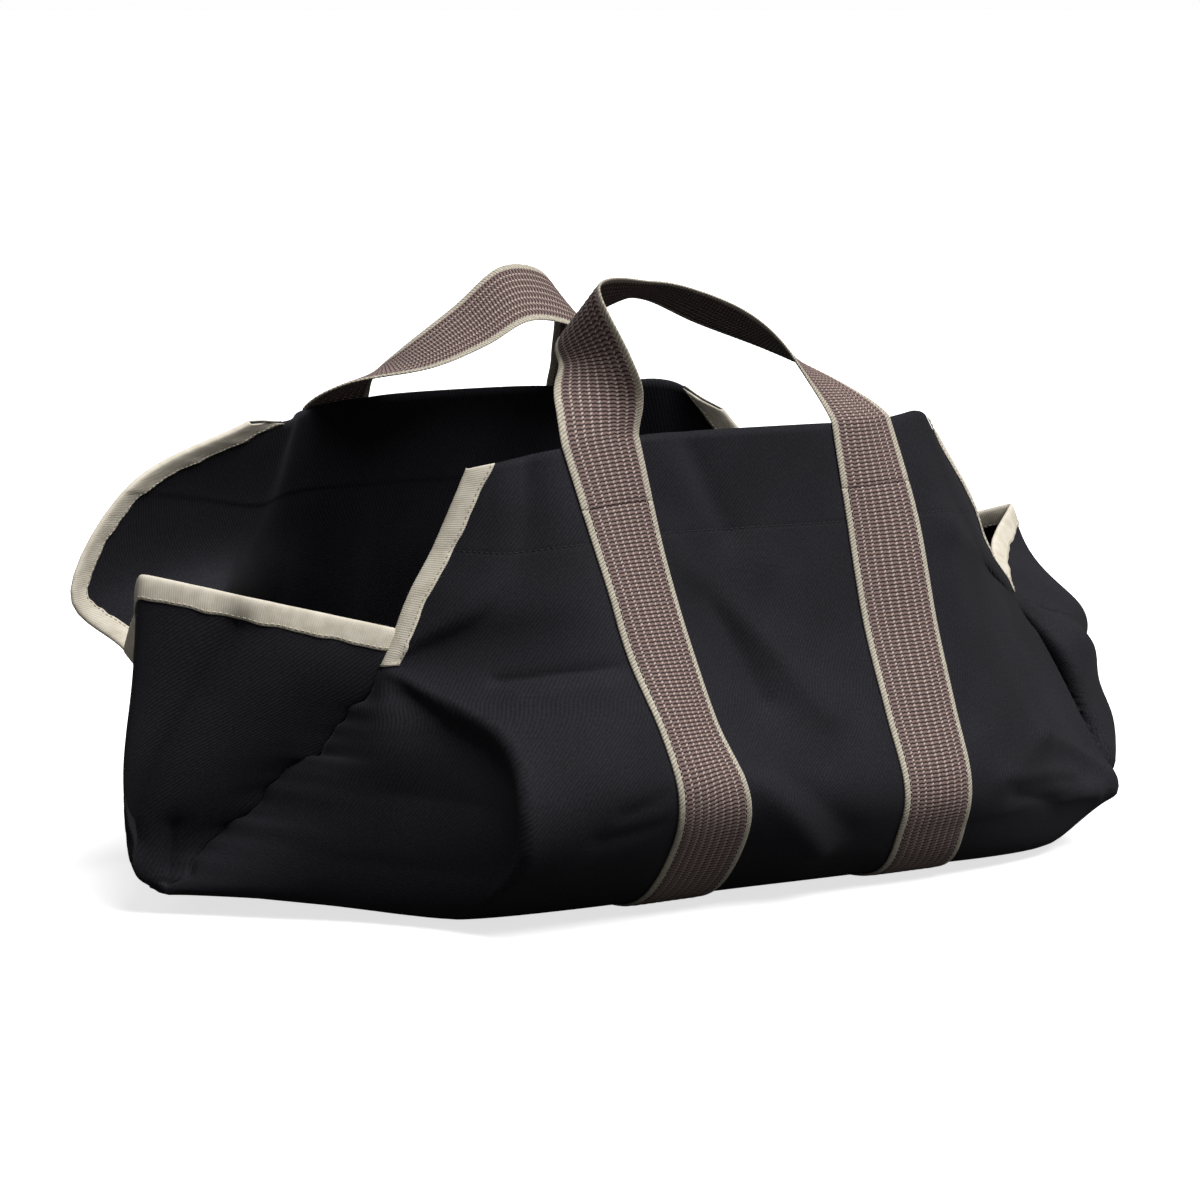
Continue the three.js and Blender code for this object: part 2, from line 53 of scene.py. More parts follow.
def faceAway(thing, direction):
    thing.rotation_mode = "QUATERNION"
    thing.rotation_quaternion = (-Vector(direction)).to_track_quat("-Z", "Y")


# Camera at the photograph's viewing angle
shot = {
    "target": (-0.017, 0.0, 0.150),
    "azimuth": -36.0,  # degrees round the bag from square on
    "elevation": 8.5,
    "distance": 2.4,
    "pixelsPerMetre": 1660.0,  # at the target
    "imageSize": 1200,
    "targetPixel": (598, 604),
    "sensorWidth": 36.0,
}

azimuth, elevation = math.radians(shot["azimuth"]), math.radians(shot["elevation"])
backwards = Vector((
    math.sin(azimuth) * math.cos(elevation), -math.cos(azimuth) * math.cos(elevation), math.sin(elevation),
))
cameraData = bpy.data.cameras.new("photoCamera")
cameraData.sensor_width = shot["sensorWidth"]
cameraData.lens = shot["sensorWidth"] * shot["pixelsPerMetre"] * shot["distance"] / shot["imageSize"]
cameraData.shift_x = 0.5 - shot["targetPixel"][0] / shot["imageSize"]
cameraData.shift_y = shot["targetPixel"][1] / shot["imageSize"] - 0.5
camera = addObject("photoCamera", cameraData)
camera.location = Vector(shot["target"]) + backwards * shot["distance"]
faceAway(camera, backwards)
scene.camera = camera
print("camera placed")


# Materials
def linearColour(hexColour):
    channels = [int(hexColour[k:k + 2], 16) / 255 for k in (1, 3, 5)]
    return tuple(c / 12.92 if c <= 0.04045 else ((c + 0.055) / 1.055) ** 2.4 for c in channels) + (1.0,)


def setInputs(tree, node, inputs):
    for socket, value in inputs.items():
        if isinstance(value, bpy.types.NodeSocket):
            tree.links.new(value, node.inputs[socket])
        else:
            node.inputs[socket].default_value = value


def addNode(tree, kind, inputs, out=0, **settings):
    node = tree.nodes.new("ShaderNode" + kind)
    for name, value in settings.items():
        setattr(node, name, value)
    setInputs(tree, node, inputs)
    return node.outputs[out]


def ramp(value, start, end, low=0.0, high=1.0):
    # what a MapRange node takes in: value from start to end gives low to high
    return {0: value, 1: start, 2: end, 3: low, 4: high}


def newMaterial(name):
    material = bpy.data.materials.new(name)
    material.use_nodes = True
    tree = material.node_tree
    return material, partial(addNode, tree), partial(setInputs, tree, tree.nodes["Principled BSDF"])


def readUv(add):
    uv = add("UVMap", {}, uv_map="millimetres")
    return uv, add("SeparateXYZ", {0: uv}, 0), add("SeparateXYZ", {0: uv}, 1)


def shades(look, start, end):
    return {6: linearColour(look[start]), 7: linearColour(look[end])}


# Polyester twill, piece-dyed black: matt, with fine slanting ribs and a soft greyish sheen at low angles; painted
# shade in the ribs' grooves and a painted highlight on their crests
twill = {
    "freshAndRibShading": "#141419",
    "wornAndRibShading": "#2b2b32",
    "slant": 1.0,  # mm that a rib runs along for each mm across
    "ribPitch": 1.7,  # mm; real ribs are about 1.1 mm apart, drawn coarser so that they show
    "ribHeight": 0.12,  # mm
    "ribDrift": 3.2,  # how far uneven yarn pushes the ribs about
    "cloudSize": 60.0,  # mm, uneven dye and rubbing
    "yarnSize": 1.6,  # mm across a thick thread
    "yarnDetail": 2.0,
    "ribPaintedShading": (-1, 1, -0.17, 0.2),  # pattern from and to, then how far towards the second colour from and to; for the ribs that is painted shade in the grooves and a painted highlight on the crests, for yarn and clouds it is uneven yarn, dye and rubbing
    "yarnTone": (0.3, 0.7, -0.22, 0.3),
    "cloudTone": (0.3, 0.72, 0.05, 0.5),
    "relief": 0.5,
    "surface": {"Roughness": 0.8, "IOR": 1.50, "Specular IOR Level": 0.22, "Sheen Weight": 0.03},
}

# Cotton binding tape, plain woven: matt beige with fine ribs across it and small soft stains, with painted shade
# in the ribs' grooves
tapeFinish = {
    "freshAndRibShading": "#efe7d6",
    "wornAndRibShading": "#c9bea8",
    "slant": 0.0,
    "ribPitch": 1.3,  # mm; real ribs are about 0.6 mm apart, drawn coarser so that they show
    "ribHeight": 0.12,  # mm
    "ribDrift": 1.0,
    "cloudSize": 9.0,  # mm
    "yarnSize": 0.8,  # mm
    "yarnDetail": 1.0,
    # painted shade in the ribs' grooves, a faint painted highlight on their crests
    "ribPaintedShading": (-1, 1, 0.12, -0.04),
    "yarnTone": (0, 1, 0, 0),  # even yarn
    "cloudTone": (0.35, 0.75, 0.0, 0.75),
    "relief": 0.35,
    "surface": {"Roughness": 0.85, "IOR": 1.50, "Sheen Weight": 0.1},
}


def makeRibbed(name, look):
    material, add, finish = newMaterial(name)
    uv, across, along = readUv(add)
    clouds = add("TexNoise", {"Vector": uv, "Scale": 1 / look["cloudSize"], "Detail": 5.0})
    yarn = add("TexNoise", {"Vector": uv, "Scale": 1 / look["yarnSize"], "Detail": look["yarnDetail"]})
    place = add("Math", {0: across, 1: look["slant"], 2: along}, operation="MULTIPLY_ADD")
    turn = 2 * math.pi / (look["ribPitch"] * math.hypot(1, look["slant"]))
    drift = add("Math", {0: yarn, 1: look["ribDrift"]}, operation="MULTIPLY")
    ribAngle = add("Math", {0: place, 1: turn, 2: drift}, operation="MULTIPLY_ADD")
    rib = add("Math", {0: ribAngle}, operation="SINE")
    # the ribs' tone is painted shade in their grooves and a painted highlight on their crests; yarn and clouds
    # give uneven tone
    ribPaintedShading, yarnTone, cloudTone = (
        add("MapRange", ramp(value, *look[key]))
        for value, key in ((rib, "ribPaintedShading"), (yarn, "yarnTone"), (clouds, "cloudTone")))
    ribShadingAndYarnTone = add("Math", {0: ribPaintedShading, 1: yarnTone}, operation="ADD")
    tone = add("Math", {0: ribShadingAndYarnTone, 1: cloudTone}, operation="ADD", use_clamp=True)
    colour = add("Mix", {0: tone, **shades(look, "freshAndRibShading", "wornAndRibShading")}, 2, data_type="RGBA")
    height = add("Math", {0: rib, 1: yarn}, operation="ADD")
    bump = add("Bump", {"Height": height, "Strength": look["relief"], "Distance": look["ribHeight"] * mm})
    finish({"Base Color": colour, "Normal": bump, **look["surface"]})
    return material


# Jacquard polyester webbing: brown floats in eight columns with painted shade between the picks, pale warp
# dots between the columns with painted shade around them, and a beige cord along each edge with painted shade
# between its turns
weave = {
    "width": 50.0,  # mm
    "cordWidth": 4.0,  # mm
    "columns": 8,
    "weftPitch": 2.3,  # mm, one float for each pick
    "cordPitch": 1.9,  # mm, one turn of the cord's yarn
    # each colour's Shade twin is painted shade: the dark that falls between the raised yarns
    "brown": "#8f746e",
    "brownShade": "#271717",
    "dot": "#cbbbb0",
    "dotShade": "#432f2d",
    "cord": "#d2c9b8",
    "cordShade": "#a1967f",
    "floatLift": 0.35,  # mm
    "yarnSize": 1.8,  # mm
    "pickArch": 0.7,  # how far each pick bows within a column
    "dotShift": 0.9,  # picks that the dots step from one column to the next
    "cordSlant": 0.3,  # turns of the cord's yarn for each mm across
    "cordEdge": (4.25, 3.75),  # mm from the webbing's edge where floats give way to the cord
    "floatEdge": (0.09, 0.17),  # share of a column where dots give way to floats
    "floatTone": (0.09, 0.32),  # share of a pick from its painted shade at the border to its full lit colour
    "dotTone": (0.1, 0.36),
    "cordTone": (0.0, 0.3),
    "yarnTone": (0.25, 0.75, 0.7, 1.2),  # noise from and to, then brightness from and to
    "yarnRelief": 0.3,
    "relief": 0.7,
    "pinchReach": 1.6,  # mm from a cross seam that flattens it
    "pinchDepth": 0.75,  # share of its height that the seam takes
    "surface": {"Roughness": 0.75, "IOR": 1.50, "Sheen Weight": 0.12},
}
columnPitch = (weave["width"] - 2 * weave["cordWidth"]) / weave["columns"]


def makeWebbing():
    material, add, finish = newMaterial("brownPolyesterWebbing")
    uv, across, along = readUv(add)
    yarn = add("TexNoise", {"Vector": uv, "Scale": 1 / weave["yarnSize"], "Detail": 2.0})

    # place in a column and in a pick: 0 at its borders, 0.5 in its middle
    start = -weave["cordWidth"] / columnPitch
    column = add("Math", {0: across, 1: 1 / columnPitch, 2: start}, operation="MULTIPLY_ADD")
    inColumn = add("Math", {0: column, 1: 0.5}, operation="PINGPONG")
    arch = add("Math", {0: inColumn, 1: inColumn}, operation="MULTIPLY")
    pick = add("Math", {0: along, 1: weave["weftPitch"]}, operation="DIVIDE")
    archedPick = add("Math", {0: arch, 1: weave["pickArch"], 2: pick}, operation="MULTIPLY_ADD")
    inPick = add("Math", {0: archedPick, 1: 0.5}, operation="PINGPONG")
    dotPick = add("Math", {0: column, 1: weave["dotShift"], 2: archedPick}, operation="MULTIPLY_ADD")
    shiftedPick = add("Math", {0: dotPick, 1: 0.5}, operation="ADD")
    inDot = add("Math", {0: shiftedPick, 1: 0.5}, operation="PINGPONG")

    cordTurns = add("Math", {0: along, 1: weave["cordPitch"]}, operation="DIVIDE")
    slantTurns = add("Math", {0: across, 1: weave["cordSlant"], 2: cordTurns}, operation="MULTIPLY_ADD")
    inTurn = add("Math", {0: slantTurns, 1: 0.5}, operation="PINGPONG")
    fromEdge = add("Math", {0: across, 1: weave["width"] / 2}, operation="PINGPONG")

    isCord = add("MapRange", ramp(fromEdge, *weave["cordEdge"]))
    patterns = ((inColumn, "floatEdge"), (inPick, "floatTone"), (inDot, "dotTone"), (inTurn, "cordTone"))
    isFloat, floatTone, dotTone, cordTone = (
        add("MapRange", ramp(value, *weave[key]), interpolation_type="SMOOTHSTEP") for value, key in patterns)
    # floats, dots and cords each run from their painted shade to their lit colour
    floats, dots, cords = (
        add("Mix", {0: tone, **shades(weave, name + "Shade", name)}, 2, data_type="RGBA")
        for tone, name in ((floatTone, "brown"), (dotTone, "dot"), (cordTone, "cord")))
    middle = add("Mix", {0: isFloat, 6: dots, 7: floats}, 2, data_type="RGBA")
    plain = add("Mix", {0: isCord, 6: middle, 7: cords}, 2, data_type="RGBA")
    yarnTone = add("MapRange", ramp(yarn, *weave["yarnTone"]))
    colour = add("VectorMath", {0: plain, "Scale": yarnTone}, operation="SCALE")

    middleRelief = add("Mix", {0: isFloat, 2: dotTone, 3: floatTone})
    relief = add("Mix", {0: isCord, 2: middleRelief, 3: cordTone})
    height = add("Math", {0: yarn, 1: weave["yarnRelief"], 2: relief}, operation="MULTIPLY_ADD")
    bump = add("Bump", {"Height": height, "Strength": weave["relief"], "Distance": weave["floatLift"] * mm})
    finish({"Base Color": colour, "Normal": bump, **weave["surface"]})
    return material


# Spun polyester sewing thread: a soft twisted look, a little smoother than the cloth
threads = {
    "black": "#0d0d10",
    "brown": "#2b1c1c",
    "beige": "#cdc3af",
    "twistPitch": 0.8,  # mm
    "twistTone": (-1, 1, 0.75, 1.1),  # pattern from and to, then brightness from and to
    "surface": {"Roughness": 0.6, "IOR": 1.50},
}


def makeThread(colourName):
    material, add, finish = newMaterial(colourName + "SpunThread")
    _, around, along = readUv(add)
    spiral = add("Math", {0: around, 1: along}, operation="ADD")
    turn = 2 * math.pi / threads["twistPitch"]
    angle = add("Math", {0: spiral, 1: turn}, operation="MULTIPLY")
    twist = add("Math", {0: angle}, operation="SINE")
    tone = add("MapRange", ramp(twist, *threads["twistTone"]))
    thread = linearColour(threads[colourName])[:3]
    colour = add("VectorMath", {0: thread, "Scale": tone}, operation="SCALE")
    finish({"Base Color": colour, **threads["surface"]})
    return material


twillMaterial = makeRibbed("blackPolyesterTwill", twill)
webbingMaterial = makeWebbing()
tapeMaterial = makeRibbed("beigeCottonTape", tapeFinish)
threadMaterials = {name: makeThread(name) for name in ("black", "brown", "beige")}
print("materials made")


# Smooth lines through points
def hermite(start, startSlope, end, endSlope, t):
    return (start * (1 + 2 * t) * (1 - t) ** 2 + startSlope * t * (1 - t) ** 2
            + end * t ** 2 * (3 - 2 * t) + endSlope * t ** 2 * (t - 1))


def lineAt(points, places, ease=1.0):
    # ease: share of its slope that the line keeps at each point
    points = np.asarray(points, float)
    slopes = np.gradient(points, axis=0) * ease
    k = np.clip(np.floor(places).astype(int), 0, len(points) - 2)
    t = (places - k).reshape((-1,) + (1,) * (points.ndim - 1))
    return hermite(points[k], slopes[k], points[k + 1], slopes[k + 1], t)


def unit(arrows):
    return arrows / np.maximum(np.linalg.norm(arrows, axis=-1, keepdims=True), 1e-9)


def acrossRows(rows, slopes, across):
    k = np.clip(np.floor(across).astype(int), 0, rows.shape[1] - 2)
    r = np.arange(len(rows))[:, None]
    return hermite(rows[r, k], slopes[r, k], rows[r, k + 1], slopes[r, k + 1], (across - k)[..., None])


def stacked(*parts):
    return np.stack(np.broadcast_arrays(*parts), axis=-1)


def numbered(shape):
    return np.arange(np.prod(shape)).reshape(shape)


def squareTo(run, sideways):
    return sideways - run * np.sum(sideways * run, axis=-1, keepdims=True)


def runLengths(points):
    steps = np.linalg.norm(np.diff(points, axis=0), axis=-1)
    return np.concatenate([np.zeros((1,) + steps.shape[1:]), np.cumsum(steps, axis=0)])


def runDirections(points, places):
    small = 1e-3
    return unit(lineAt(points, places + small) - lineAt(points, places - small))


def rowsAt(places, known, rows):
    # rows of numbers of any shape, read off between the known places
    flat = rows.reshape(len(rows), -1)
    found = np.stack([np.interp(places, known, flat[:, k]) for k in range(flat.shape[1])], axis=-1)
    return found.reshape((len(places),) + rows.shape[1:])


def crowdedPlaces(run, crowd, count):
    # count steps along a run, closer together where crowd is larger
    soFar = np.concatenate([[0], np.cumsum((crowd[1:] + crowd[:-1]) / 2 * np.diff(run))])
    return np.interp(np.linspace(0, soFar[-1], count + 1), soFar, run)


# how finely curves are sampled before cells are spread along them
sampling = {"column": 80, "panelAlong": 2000, "strapAlong": 1200, "strapAcross": 121, "leg": 60, "handle": 500}


# The wrapped panel's shape, front half from the rim down and under to the middle of the base
clothThickness, webThickness, gap = 1.5, 2.0, 0.3  # mm
baseHeight = webThickness + gap + clothThickness / 2
bagShape = {
    # each section from left to right: edge, corner, strap, strap, corner, edge, then strap turns, cheek bulges
    "front": {
        "rim": ((-166, -106, 253), (-140, -121, 259), (-98, -137, 267),
                (88, -139, 267), (142, -124, 268), (176, -106, 249), (-2, 10), (2, 0)),
        "hem": ((-183, -98, 210), (-152, -135, 210), (-93, -153, 216),
                (90, -156, 214), (162, -138, 209), (209, -99, 209), (11, -9), (3, 1)),
        "kink": ((-198, -94, 182), (-172, -134, 178), (-90, -166, 183),
                 (89, -167, 182), (182, -132, 178), (224, -95, 180), (17, -15), (3, 1)),
        "notch": ((-215, -90, 142), (-209, -102, 144), (-87, -181, 150),
                  (88, -179, 148), (236, -102, 146), (250, -88, 148), (19, -15), (3, 0)),
        "slope": ((-232, -68, 106), (-187, -171, 112), (-83, -200, 112),
                  (86, -199, 104), (251, -121, 108), (318, -78, 119), (24, -9), (9, 12)),
        "belly": ((-253, -44, 79), (-190, -196, 74), (-78, -214, 79),
                  (86, -214, 65), (255, -148, 70), (345, -52, 92), (8, -5), (2, 11)),
        "tuck": ((-276, -20, 47), (-189, -186, 42), (-71, -202, 48),
                 (88, -207, 38), (253, -176, 37), (352, -28, 58), (-3, -4), (2, 18)),
        "foot": ((-300, -13, 23), (-190, -134, 8), (-66, -165, 11),
                 (94, -180, 9), (211, -174, 8), (346, -14, 26), (-4, -5), (2, -2)),
        "base": ((-306, -10, 15), (-172, -86, baseHeight), (-64, -113, baseHeight),
                 (95, -118, baseHeight), (200, -114, baseHeight), (338, -10, 16), (0, 0), (4, 2)),
        "middle": ((-307, 0, 13), (-172, 0, baseHeight), (-64, 0, baseHeight),
                   (95, 0, baseHeight), (200, 0, baseHeight), (338, 0, 14), (0, 0), (0, 0)),
    },
    # the rear wall's left edge has flopped outwards
    "rearLeftEdge": {
        "rim": (-175, 113, 261), "hem": (-261, 102, 231), "kink": (-304, 98, 171), "notch": (-270, 95, 134),
        "slope": (-270, 66, 104), "belly": (-280, 42, 78), "tuck": (-288, 20, 47),
    },
    "cheekShares": (0.5, 0.62),  # how far each cheek's middle lies from its corner towards the edge
    "rightPinch": {"tuck": 0.2, "foot": 0.5},  # share of its roundness that the right corner keeps there
}
sectionNames = list(bagShape["front"])
sectionOf = {name: k for k, name in enumerate(sectionNames)}
lastSection = 2 * (len(sectionNames) - 1)
lastColumn = 7  # edge, cheek, corner and strap on the left, then the same on the right
strapColumns = {"left": 3, "right": 4}
cornerColumns = {"left": 2, "right": 5}


def cheekPoint(corner, edge, bulge, share):
    chord = edge - corner
    outwards = np.array([abs(chord[1]) * np.sign(edge[0]), -abs(chord[0]) * np.sign(chord[1]), 0.0])
    return corner + chord * share + bulge * unit(outwards)


def sectionColumns(name, rear):
    edgeL, cornerL, strapL, strapR, cornerR, edgeR = (
        np.array(p, float) * (1, -1 if rear else 1, 1) for p in bagShape["front"][name][:6])
    bulgeL, bulgeR = bagShape["front"][name][7]
    shareL, shareR = bagShape["cheekShares"]
    if rear and name in bagShape["rearLeftEdge"]:
        edgeL = np.array(bagShape["rearLeftEdge"][name], float)
    return np.array([edgeL, cheekPoint(cornerL, edgeL, bulgeL, shareL), cornerL, strapL,
                     strapR, cornerR, cheekPoint(cornerR, edgeR, bulgeR, shareR), edgeR])


wrapColumns = np.array([sectionColumns(name, False) for name in sectionNames]
                       + [sectionColumns(name, True) for name in reversed(sectionNames[:-1])])
frontTurns = np.array([bagShape["front"][name][6] for name in sectionNames], float)
wrapTurns = np.radians(np.concatenate([frontTurns, -frontTurns[-2::-1]]))
cornerEase = np.ones(wrapColumns.shape[:2] + (1,))
for name, share in bagShape["rightPinch"].items():
    for section in (sectionOf[name], lastSection - sectionOf[name]):
        cornerEase[section, cornerColumns["right"]] = share
seams = {
    "waves": ((47.0, 2.2), (23.0, 1.2), (13.0, 0.6)),  # length and height in mm of the seam's waver
    "phases": (0.6, 1.3, 2.1),  # where it starts, and what each column and the rear wall add
    "wavedSections": (3.0, 3.4, 7.6, 8.2),  # it fades in and out again
    "sectionPlaces": (0, 45, 75, 115, 160, 200, 240, 270, 285, 295),  # mm down the edge
    "lean": 0.75,  # how much the seams face the walls
    "pucker": (15.0, 0.5, 6.0),  # length, height and reach in mm of the gathers beside the stitching
    "uneven": (0.8, 9.0),  # radians that the gathers drift, in waves of this many mm to a radian
    "groove": (1.3, 1.9),  # depth and width in mm
}
foldBack = {  # the cloth folds back behind each corner, by section, then swells out again
    "leftSections": (3.05, 3.4, 4.0, 5.0, 6.2, 7.6),
    "leftDepth": (0, 9, 16, 21, 15, 0),  # mm
    "leftDirection": (0.58, 0.81),  # along the bag and towards its inside
    "leftShare": 1.6,  # of the way from the corner to the middle of the cheek
    "rightSections": (3.15, 3.6, 4.0, 5.3, 6.0, 6.5),
    "rightDepth": (0, 8, 14, 21, 20, 0),
    "rightDirection": (0.45, 0.89),
    "rightShare": 0.5,
}
cubicPeak = 4 / 27  # the most that s (1 - s)^2 reaches
tightness = {  # share of its slope that the cloth keeps at a corner, by section: less is a sharper fold
    "sections": (0, 2.5, 3.2, 6.0, 7.0, 9.0),
    "slope": (1.0, 0.7, 0.2, 0.2, 0.7, 1.0),
}


def nearSection(along):
    return np.minimum(along, lastSection - along)


def seamWaver(along, column):
    line = lineAt(wrapColumns[:, column], along)
    run = runDirections(wrapColumns[:, column], along)
    outwards = stacked(np.sign(line[0, 0]), np.sign(line[:, 1]) * seams["lean"], 0)
    sideways = unit(np.cross(run, unit(outwards)))
    near = nearSection(along)
    places = np.interp(near, np.arange(len(sectionNames)), seams["sectionPlaces"])
    first, perColumn, rear = seams["phases"]
    phase = first + perColumn * column + rear * (line[:, 1] > 0)
    waver = sum(height * np.sin(2 * np.pi * places / length + phase * (k + 1))
                for k, (length, height) in enumerate(seams["waves"]))
    fade = np.interp(near, seams["wavedSections"], (0, 1, 1, 0))
    return sideways * (waver * fade)[:, None]


def wrapRows(along):
    rows = lineAt(wrapColumns, along, cornerEase)
    for column in (0, lastColumn):
        rows[:, column] += seamWaver(along, column)
    slopes = np.gradient(rows, axis=1)
    turns = lineAt(wrapTurns, along)
    runs = runDirections(wrapColumns, along)
    for side, column in enumerate(strapColumns.values()):
        width = stacked(np.cos(turns[:, side]), np.sin(turns[:, side]), 0)
        width = unit(squareTo(runs[:, column], width))
        slopes[:, column] = width * np.linalg.norm(slopes[:, column], axis=-1, keepdims=True)
    tight = np.interp(nearSection(along), tightness["sections"], tightness["slope"])[:, None]
    for column in cornerColumns.values():
        slopes[:, column] *= tight
    return rows, slopes


def clothPoints(across, along):
    points = acrossRows(*wrapRows(along), across)
    inwards = np.where(along < lastSection / 2, 1, -1)[:, None]
    for side, sign in (("left", -1), ("right", 1)):
        behind = np.clip(sign * (across - cornerColumns[side]) / foldBack[side + "Share"], 0, 1)
        profile = np.sin(np.pi * behind) ** 2 if side == "right" else behind * (1 - behind) ** 2 / cubicPeak
        deepest = np.interp(nearSection(along), foldBack[side + "Sections"], foldBack[side + "Depth"])[:, None]
        points[..., 0] += deepest * profile * foldBack[side + "Direction"][0]
        points[..., 1] += deepest * profile * foldBack[side + "Direction"][1] * inwards
    points[..., 2] = np.maximum(points[..., 2], baseHeight)
    return points


def acrossLengths(grid):
    return runLengths(np.moveaxis(grid, 1, 0)).T


def gridNormals(grid):
    return unit(np.cross(np.gradient(grid, axis=0), np.gradient(grid, axis=1)))


# Folds: across from and to, along from and to, then width, rounding and depth in mm
panelFolds = {
    "leftCornerCrease": (2.0, 2.0, 3.55, 5.6, 6, 1, 1),
    "leftWallCrease": (2.42, 2.8, 3.25, 3.12, 4, 1, -4),
    "leftWallPuff": (2.42, 2.75, 3.5, 3.35, 9, 6, 3),
    "rimDent": (3.33, 3.42, 0, 1.1, 9, 6, -6),
    "rimRidge": (3.2, 3.5, 0, 1.6, 14, 10, 4),
    "pulledRidge": (3.12, 3.62, 0.9, 4.0, 12, 4, 6),
    "hollowBesideStrap": (3.24, 3.27, 0.9, 4.2, 18, 18, -4),
    "pulledHollow": (3.3, 3.42, 2.1, 3.7, 8, 3, -5),
    "bellyRidge": (3.18, 3.5, 5.0, 6.2, 10, 4, 6),
    "bellyHollow": (3.3, 3.62, 4.7, 5.9, 9, 5, -4),
    "bendWrinkle": (2.6, 2.8, 5.05, 4.85, 4, 1, -3),
    "bendWrinkleLow": (2.5, 2.78, 5.45, 5.3, 5, 2, -3),
    "rightWallRidge": (4.5, 5.6, 1.3, 2.8, 12, 5, 5),
    "rightCornerCrease": (5.0, 5.0, 3.6, 6.0, 4, 1, 2),
    "lowRightRidge": (4.5, 4.9, 4.85, 5.75, 9, 2, 6),
    "lowRightArch": (4.5, 4.25, 4.85, 5.25, 8, 3, 4),
    "crinkleOne": (4.3, 4.62, 5.25, 5.55, 4, 1, 3.5),
    "crinkleTwo": (4.32, 4.5, 5.6, 5.95, 4, 1, -3),
    "crinkleThree": (4.5, 4.8, 5.7, 6.1, 5, 1, 3),
    "rearPulledRidge": (3.7, 3.3, 16.6, 13.8, 15, 12, 6),
    "rearLowRidge": (3.8, 3.4, 13.6, 12.2, 12, 6, 5),
    "rearWallCrease": (4.6, 5.1, 14.6, 14.9, 5, 2, -4),
    "rearLeftCrease": (2.0, 2.0, 14.6, 12.0, 11, 2, 6),
    "rearRightCrease": (5.0, 5.0, 14.6, 12.0, 9, 2, 6),
}
foldSteps = 8  # straight pieces that a fold is followed in


def foldDepths(points, folds, surface):
    depths = np.zeros(points.shape[:-1])
    for acrossFrom, acrossTo, alongFrom, alongTo, width, rounding, depth in folds.values():
        across = np.linspace(acrossFrom, acrossTo, foldSteps + 1)[:, None]
        path = surface(across, np.linspace(alongFrom, alongTo, foldSteps + 1))[:, 0]
        distance = np.full(depths.shape, np.inf)
        for start, end in zip(path[:-1], path[1:]):
            span = end - start
            share = np.clip((points - start) @ span / (span @ span), 0, 1)
            distance = np.minimum(distance, np.linalg.norm(points - start - share[..., None] * span, axis=-1))
        depths += depth * np.exp((rounding - np.sqrt(distance ** 2 + rounding ** 2)) / width)
    return depths


def seamGathers(distance, place, phase):
    length, height, reach = seams["pucker"]
    depth, width = seams["groove"]
    drift, driftLength = seams["uneven"]
    angle = 2 * np.pi * place / length + phase + drift * np.sin(place / driftLength)
    gathers = height * np.cos(angle) * np.exp(-distance / reach)
    return gathers - depth * np.exp(-(distance / width) ** 2)


# Meshes
def addMesh(name, points, faces, uv, material, slotName, *replaced):
    mesh = bpy.data.meshes.new(name)
    mesh.from_pydata(((points - (shiftX, 0, 0)) * mm).tolist(), [], faces)
    layer = mesh.uv_layers.new(name="millimetres")
    corners = np.empty(len(mesh.loops), int)
    mesh.loops.foreach_get("vertex_index", corners)
    layer.data.foreach_set("uv", np.asarray(uv, np.float32)[corners].ravel())
    mesh.polygons.foreach_set("use_smooth", np.ones(len(mesh.polygons), bool))
    mesh.materials.append(material)
    mesh.update()
    piece = addObject(name, mesh)
    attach(piece, "root")
    if replaced:
        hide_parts(*replaced)
    return piece


def addSheet(name, outer, inner, uv, *rest):
    index = numbered(outer.shape[:2])
    count = index.size
    quads = stacked(index[:-1, :-1], index[1:, :-1], index[1:, 1:], index[:-1, 1:]).reshape(-1, 4)
    border = np.concatenate([index[0, :-1], index[:-1, -1], index[-1, :0:-1], index[:0:-1, 0]])
    following = np.roll(border, -1)
    rim = stacked(border, following, following + count, border + count)
    faces = np.concatenate([quads, quads[:, ::-1] + count, rim])
    points = np.concatenate([outer.reshape(-1, 3), inner.reshape(-1, 3)])
    return addMesh(name, points, faces.tolist(), np.concatenate([uv, uv]), *rest)


def gridUv(across, along):
    return stacked(across, along).reshape(-1, 2)


# Main panel: front wall, base and rear wall in one cloth, with its rims turned in as hems
panel = {
    "rows": 250,
    "rowCrowding": 1.2,  # more rows on the lower walls, where the cloth folds
    "crowdSections": (2.6, 3.0, 6.5, 6.9),
    "cells": 190,
    "crowding": 1.6,  # more cells beside the corner creases
    "crowdReach": 28.0,  # mm
    "hemDepth": 57.0,  # mm from the rim to the hem's stitch line
    "hemThickness": 0.7,  # mm more cloth in a hem
    "hemFade": 3.0,  # mm over which that thickness comes in
    "hemRows": (-2, -1, 0, 1, 2),  # rows of cells along the hem's stitch line
    "hemRowStep": 1.4,  # mm
    "hemClear": 4.2,  # mm without other rows on both sides of it
    "stitchGroove": 0.3,  # mm the hem's stitches pull the cloth in
    "grooveSharpness": 1.5,
    "strapSwell": 2.6,  # mm the cloth swells beside a strap that holds it in
    "swellReach": 12.0,  # mm from the strap's edge
    "swellFade": 70.0,  # mm from the panel's own edges
    "floorSections": (6.0, 7.2),  # the swelling ends where the cloth lies down
    "seamedSections": (3.0, 3.3),  # the gathers begin below the notch
    "shadeOffset": 0.3,  # soft shade where the folds turn from the light
}


def spreadAcross(along):
    # cells from edge to edge, crowded beside the corner creases
    fine = np.linspace(0, lastColumn, lastColumn * sampling["column"] + 1)
    across, places = [], []
    for run in acrossLengths(clothPoints(fine[None], along)):
        crowd = np.ones(len(run))
        for column in cornerColumns.values():
            fromCorner = run - np.interp(column, fine, run)
            crowd += panel["crowding"] * np.exp(-(fromCorner / panel["crowdReach"]) ** 2)
        places.append(crowdedPlaces(run, crowd, panel["cells"]))
        across.append(np.interp(places[-1], run, fine))
    return np.array(across), np.array(places)


